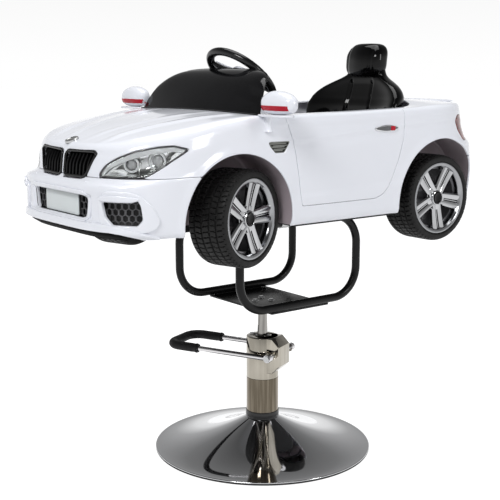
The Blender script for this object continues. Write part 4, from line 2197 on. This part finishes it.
@dataclass
class Handles:
    """Door handles: a chrome shell with a dark lens and a red block."""

    panels: Panels

    def outline(self, grow: float = 0.0) -> Array:
        """Almond from front to rear, in the side's plane."""
        share = np.linspace(0, 1, 41)
        half = (8.8 + grow) * np.power(np.sin(math.pi * share ** 1.15), 0.75) + 0.01
        y = 141 - grow + (86 + 2 * grow) * share
        return np.vstack([np.c_[y, 880 + half], np.c_[y, 880 - half][-2:0:-1]])[::-1]

    def part(self, line: Array, low: float, high: float, edge: float) -> Form:
        """A plate with the given outline on the door's side."""
        return slab(line, low, high, 0, edge).standing().solid()

    def build(self) -> None:
        """Places the handles."""
        shell = self.part(self.outline(), 266.0, 273.6, 1.6)
        line = self.outline(-2.6)
        lens = self.part(line[line[:, 0] > 146], 268.0, 274.6, 1.0)
        red = self.part(filleted([(198, 874), (213, 874.5), (213, 885.5), (198, 886)], 2.5, 4), 268,
                        276.0, 0.8)
        for side, body in (("left", Body.DOOR_LEFT), ("right", Body.DOOR_RIGHT)):
            for name, form, finish in (("", shell, FINISH.bright), ("_lens", lens, FINISH.net),
                                       ("_block", red, FINISH.stripe)):
                form = form if side == "left" else form.mirrored()
                place(f"door_handle_{side}{name}", form, finish, body)


@dataclass
class Pump:
    """Base disc, column, head, lever and ram; turn is the lever's direction from +X, in degrees."""

    turn: float = 203.7

    def disc(self) -> Form:
        """Trumpet of sheet metal with a rolled edge: z grows with ((R - r)/(R - c))^1.75."""
        r = np.concatenate([np.linspace(294.0, 120, 40), np.linspace(117, 44.2, 40)])
        z = 9 + 76 * np.power((295 - r) / (295 - 44), 1.75)
        a = np.linspace(-QUARTER, QUARTER, 9)
        edge = np.c_[293.4 + 1.6 * np.cos(a), 7.6 + 1.6 * np.sin(a)]
        return lathe(np.vstack([np.c_[r, z - 3][:0:-1], edge, np.c_[r, z][1:]]), 240, closed=True)

    def foot(self) -> Form:
        """Rubber ring under the disc."""
        return lathe([(279, 0.2), (289, 0.2), (293.5, 1.5), (294.6, 3.5), (294.6, 5.8), (279, 5.8)],
                     160, closed=True)

    def column(self) -> Form:
        """Outer sleeve with a chamfered lower edge."""
        return lathe([(41, 17), (44, 17), (44, 197.4), (43.2, 198), (41, 198)], 128, closed=True)

    def collar(self) -> Form:
        """Black ring at the foot of the column."""
        return lathe([(44.05, 85.2), (45.2, 85.2), (45.6, 86), (45.6, 104), (45.2, 104.8),
                      (44.05, 104.8)], 128, closed=True)

    def head(self) -> Form:
        """Round head with a bevelled valve block, a recess round the ram and two lugs."""
        body = lathe([(43.0, 198.2), (44, 199), (44, 311.2), (43.4, 312.4), (42.2, 313), (24, 313),
                      (22.6, 312.4), (22.0, 311), (22.0, 309), (15, 309), (15, 252), (24.6, 250),
                      (24.6, 198.2)], 128, closed=True).solid()
        line = filleted([(0, 313), (-45, 313), (-66, 292), (-66, 238), (-45, 217), (0, 217)],
                        [0, 2, 3, 2, 3, 0], 4)
        block = slab(line, -32.5, 32.5, 1.4, 1.4).turned("x", 90).solid()
        ring = lathe([(22, 309), (23.6, 309), (24.2, 313.4), (22.6, 314.0)], 64,
                     closed=True).solid()
        boss = lathe([(0.01, 0), (9.4, 0), (9.4, 9), (8.6, 10), (0.01, 10)], 32).solid()
        bosses = [boss.turned("x", -90 * side).moved((-52, side * 32, 270)) for side in (-1, 1)]
        return joined(body, ring, joined(block, *bosses).turned("z", self.turn))

    def lever(self) -> Form:
        """Loop of round bar with flattened eyes round the shaft."""
        path = filleted([(-44, 67), (262, 67), (262, -67), (-44, -67)], [0, 36, 36, 0], 12,
                        closed=False)
        bar = tube(np.c_[path, np.full(len(path), 270.0)], 7.0, (0, 0, 1), 20)
        eye = lathe([(6.3, -8), (10.2, -8), (11, -7), (11, 7), (10.2, 8), (6.3, 8)], 40,
                    closed=True).solid()
        eyes = [eye.turned("x", 90).moved((-52, side * 67, 270)) for side in (-1, 1)]
        return joined(bar, *eyes).turned("z", self.turn)

    def grip(self) -> Form:
        """Rubber sleeve on the lever's outer end, with ridged collars at its two ends."""
        path = filleted([(164, 67), (262, 67), (262, -67), (164, -67)], [0, 36, 36, 0], 16,
                        closed=False)
        fine = np.concatenate([np.linspace(path[0], path[1], 14)[:-1], path[1:-1],
                               np.linspace(path[-2], path[-1], 14)[1:]])
        run = length_along(fine)
        end = np.minimum(run, run[-1] - run)
        r = 12.4 + 0.9 * smooth_step(9, 6, end) - 1.2 * hump(end - 12,
                                                             2.2) - 1.6 * smooth_step(1.5, 0, end)
        bar = tube(np.c_[fine, np.full(len(fine), 270.0)], r, (0, 0, 1), 28)
        return bar.turned("z", self.turn)

    def ram(self) -> Form:
        """Ram, tapered towards the socket."""
        return lathe([(0.01, 40.3), (14, 40.3), (14, 325), (12, 389), (12, 406.8), (0.01, 406.8)],
                     72)

    def seal(self) -> Form:
        """Wiper ring round the ram."""
        return lathe([(14.2, 309), (20.6, 309), (20.6, 312.6), (19.4, 313.8), (16, 314),
                      (14.2, 313)],
                     64, closed=True)

    def build(self) -> None:
        """Places the pump's pieces."""
        stand_in("base_disc", self.disc().solid(), FINISH.chrome, Body.BASE)
        stand_in("foot_ring", self.foot().solid(), FINISH.foot, Body.BASE)
        place("pump_sleeve_look", self.column().solid(), FINISH.column, Body.BASE)
        for node, form, finish, body in (
                ("column_collar", self.collar(), FINISH.collar, Body.BASE),
                ("pump_head", self.head(), FINISH.head, Body.BASE),
                ("wiper_seal", self.seal(), FINISH.collar, Body.BASE),
                ("pump_lever", self.lever(), FINISH.lever, Body.LEVER),
                ("lever_grip", self.grip(), FINISH.grip, Body.LEVER),
                ("pump_ram", self.ram(), FINISH.ram, Body.CAR)):
            stand_in(node, form.solid(), finish, body)


@dataclass
class Cradle:
    """Two bent tubes, the plate between them and its socket and bolts."""

    def loop(self, x: float) -> Form:
        """One tube, bent into a rounded rectangle."""
        yz = filleted([(-179, 423), (217, 423), (217, 643), (-179, 643)], 78, 16)
        return tube(np.c_[np.full(len(yz), x), yz], 11.0, (1, 0, 0), 32, closed=True)

    def plate(self) -> Form:
        """Mounting plate."""
        line = filleted([(-137.5, -78.5), (137.5, -78.5), (137.5, 116.5), (-137.5, 116.5)], 3, 4)
        return slab(line, 407.1, 411.9, 0.5, 0.7)

    def welds(self) -> Form:
        """Weld beads between the tubes and the plate."""
        y = np.linspace(-60, 98, 80)
        beads = [np.c_[np.full(80, x + side), y, np.full(80, 412.2)] for x in (-134, 134)
                 for side in (-4.2, 4.2)]
        return joined(*[tube(bead, 1.6 + 0.125 * np.sin(y * 1.9), (0, 0, 1), 8) for bead in beads])

    def socket(self) -> Form:
        """Socket under the plate, with its flange."""
        return lathe([(12.1, 389.2), (22, 389.2), (23, 390.2), (23, 400.4), (24.5, 401.2),
                      (36.2, 401.2),
                      (37, 402), (37, 406.8), (12.1, 406.8)], 72, closed=True)

    def bolts(self) -> Form:
        """Bright bolt heads on washers."""
        head = lathe([(0.01, 411.9), (8.6, 411.9), (8.6, 413.0), (6.6, 413.1), (6.9, 413.4),
                      (6.9, 416.4),
                      (6.1, 417.0), (0.01, 417.0)], 6).solid()
        washer = lathe([(0.01, 411.9), (9.2, 411.9), (9.2, 413.2), (0.01, 413.3)], 32).solid()
        bolt = joined(head, washer).moved((25, 0, 0))
        return joined(*[bolt.turned("z", a) for a in (30, 150, 270)])

    def build(self) -> None:
        """Places the cradle's pieces."""
        for side, x in (("left", 134.0), ("right", -134.0)):
            stand_in(f"cradle_{side}", self.loop(x).solid(), FINISH.enamel)
        stand_in("cradle_plate", self.plate().solid(), FINISH.enamel)
        place("cradle_welds", self.welds().solid(), FINISH.enamel)
        stand_in("ram_socket", self.socket().solid(), FINISH.enamel)
        stand_in("plate_bolts", self.bolts(), FINISH.steel)


def main() -> None:
    """Builds the stage and every piece."""
    logging.basicConfig(level=logging.INFO, format="%(message)s")
    Studio().build()
    panels = Panels()
    BodyShell(panels).build()
    Lamps(panels).build()
    NoseParts(panels).build()
    Screen(panels.body).build()
    Mirrors().build()
    Seat().build()
    Cockpit().build()
    RoadWheel().build()
    Liners(panels).build()
    Handles(panels).build()
    Pump().build()
    Cradle().build()
    for node, finish in (
            ("ballast_plate", FINISH.ballast), ("pump_column", FINISH.column),
            ("oil_cylinder", FINISH.steel),
            ("filler_plug", FINISH.steel), ("ram_piston", FINISH.steel),
            ("lever_shaft", FINISH.steel),
            ("frame_clamps", FINISH.steel), ("floor_pan", FINISH.black),
            ("steering_column", FINISH.black),
            ("front_axle", FINISH.black), ("rear_axle", FINISH.black),
            ("door_hinges", FINISH.steel),
            ("tie_rod", FINISH.black), ("knuckle_left", FINISH.black),
            ("knuckle_right", FINISH.black),
            ("door_fittings_left", FINISH.bright), ("door_fittings_right", FINISH.bright)):
        dress(node, finish)


if __name__ == "__main__":
    main()
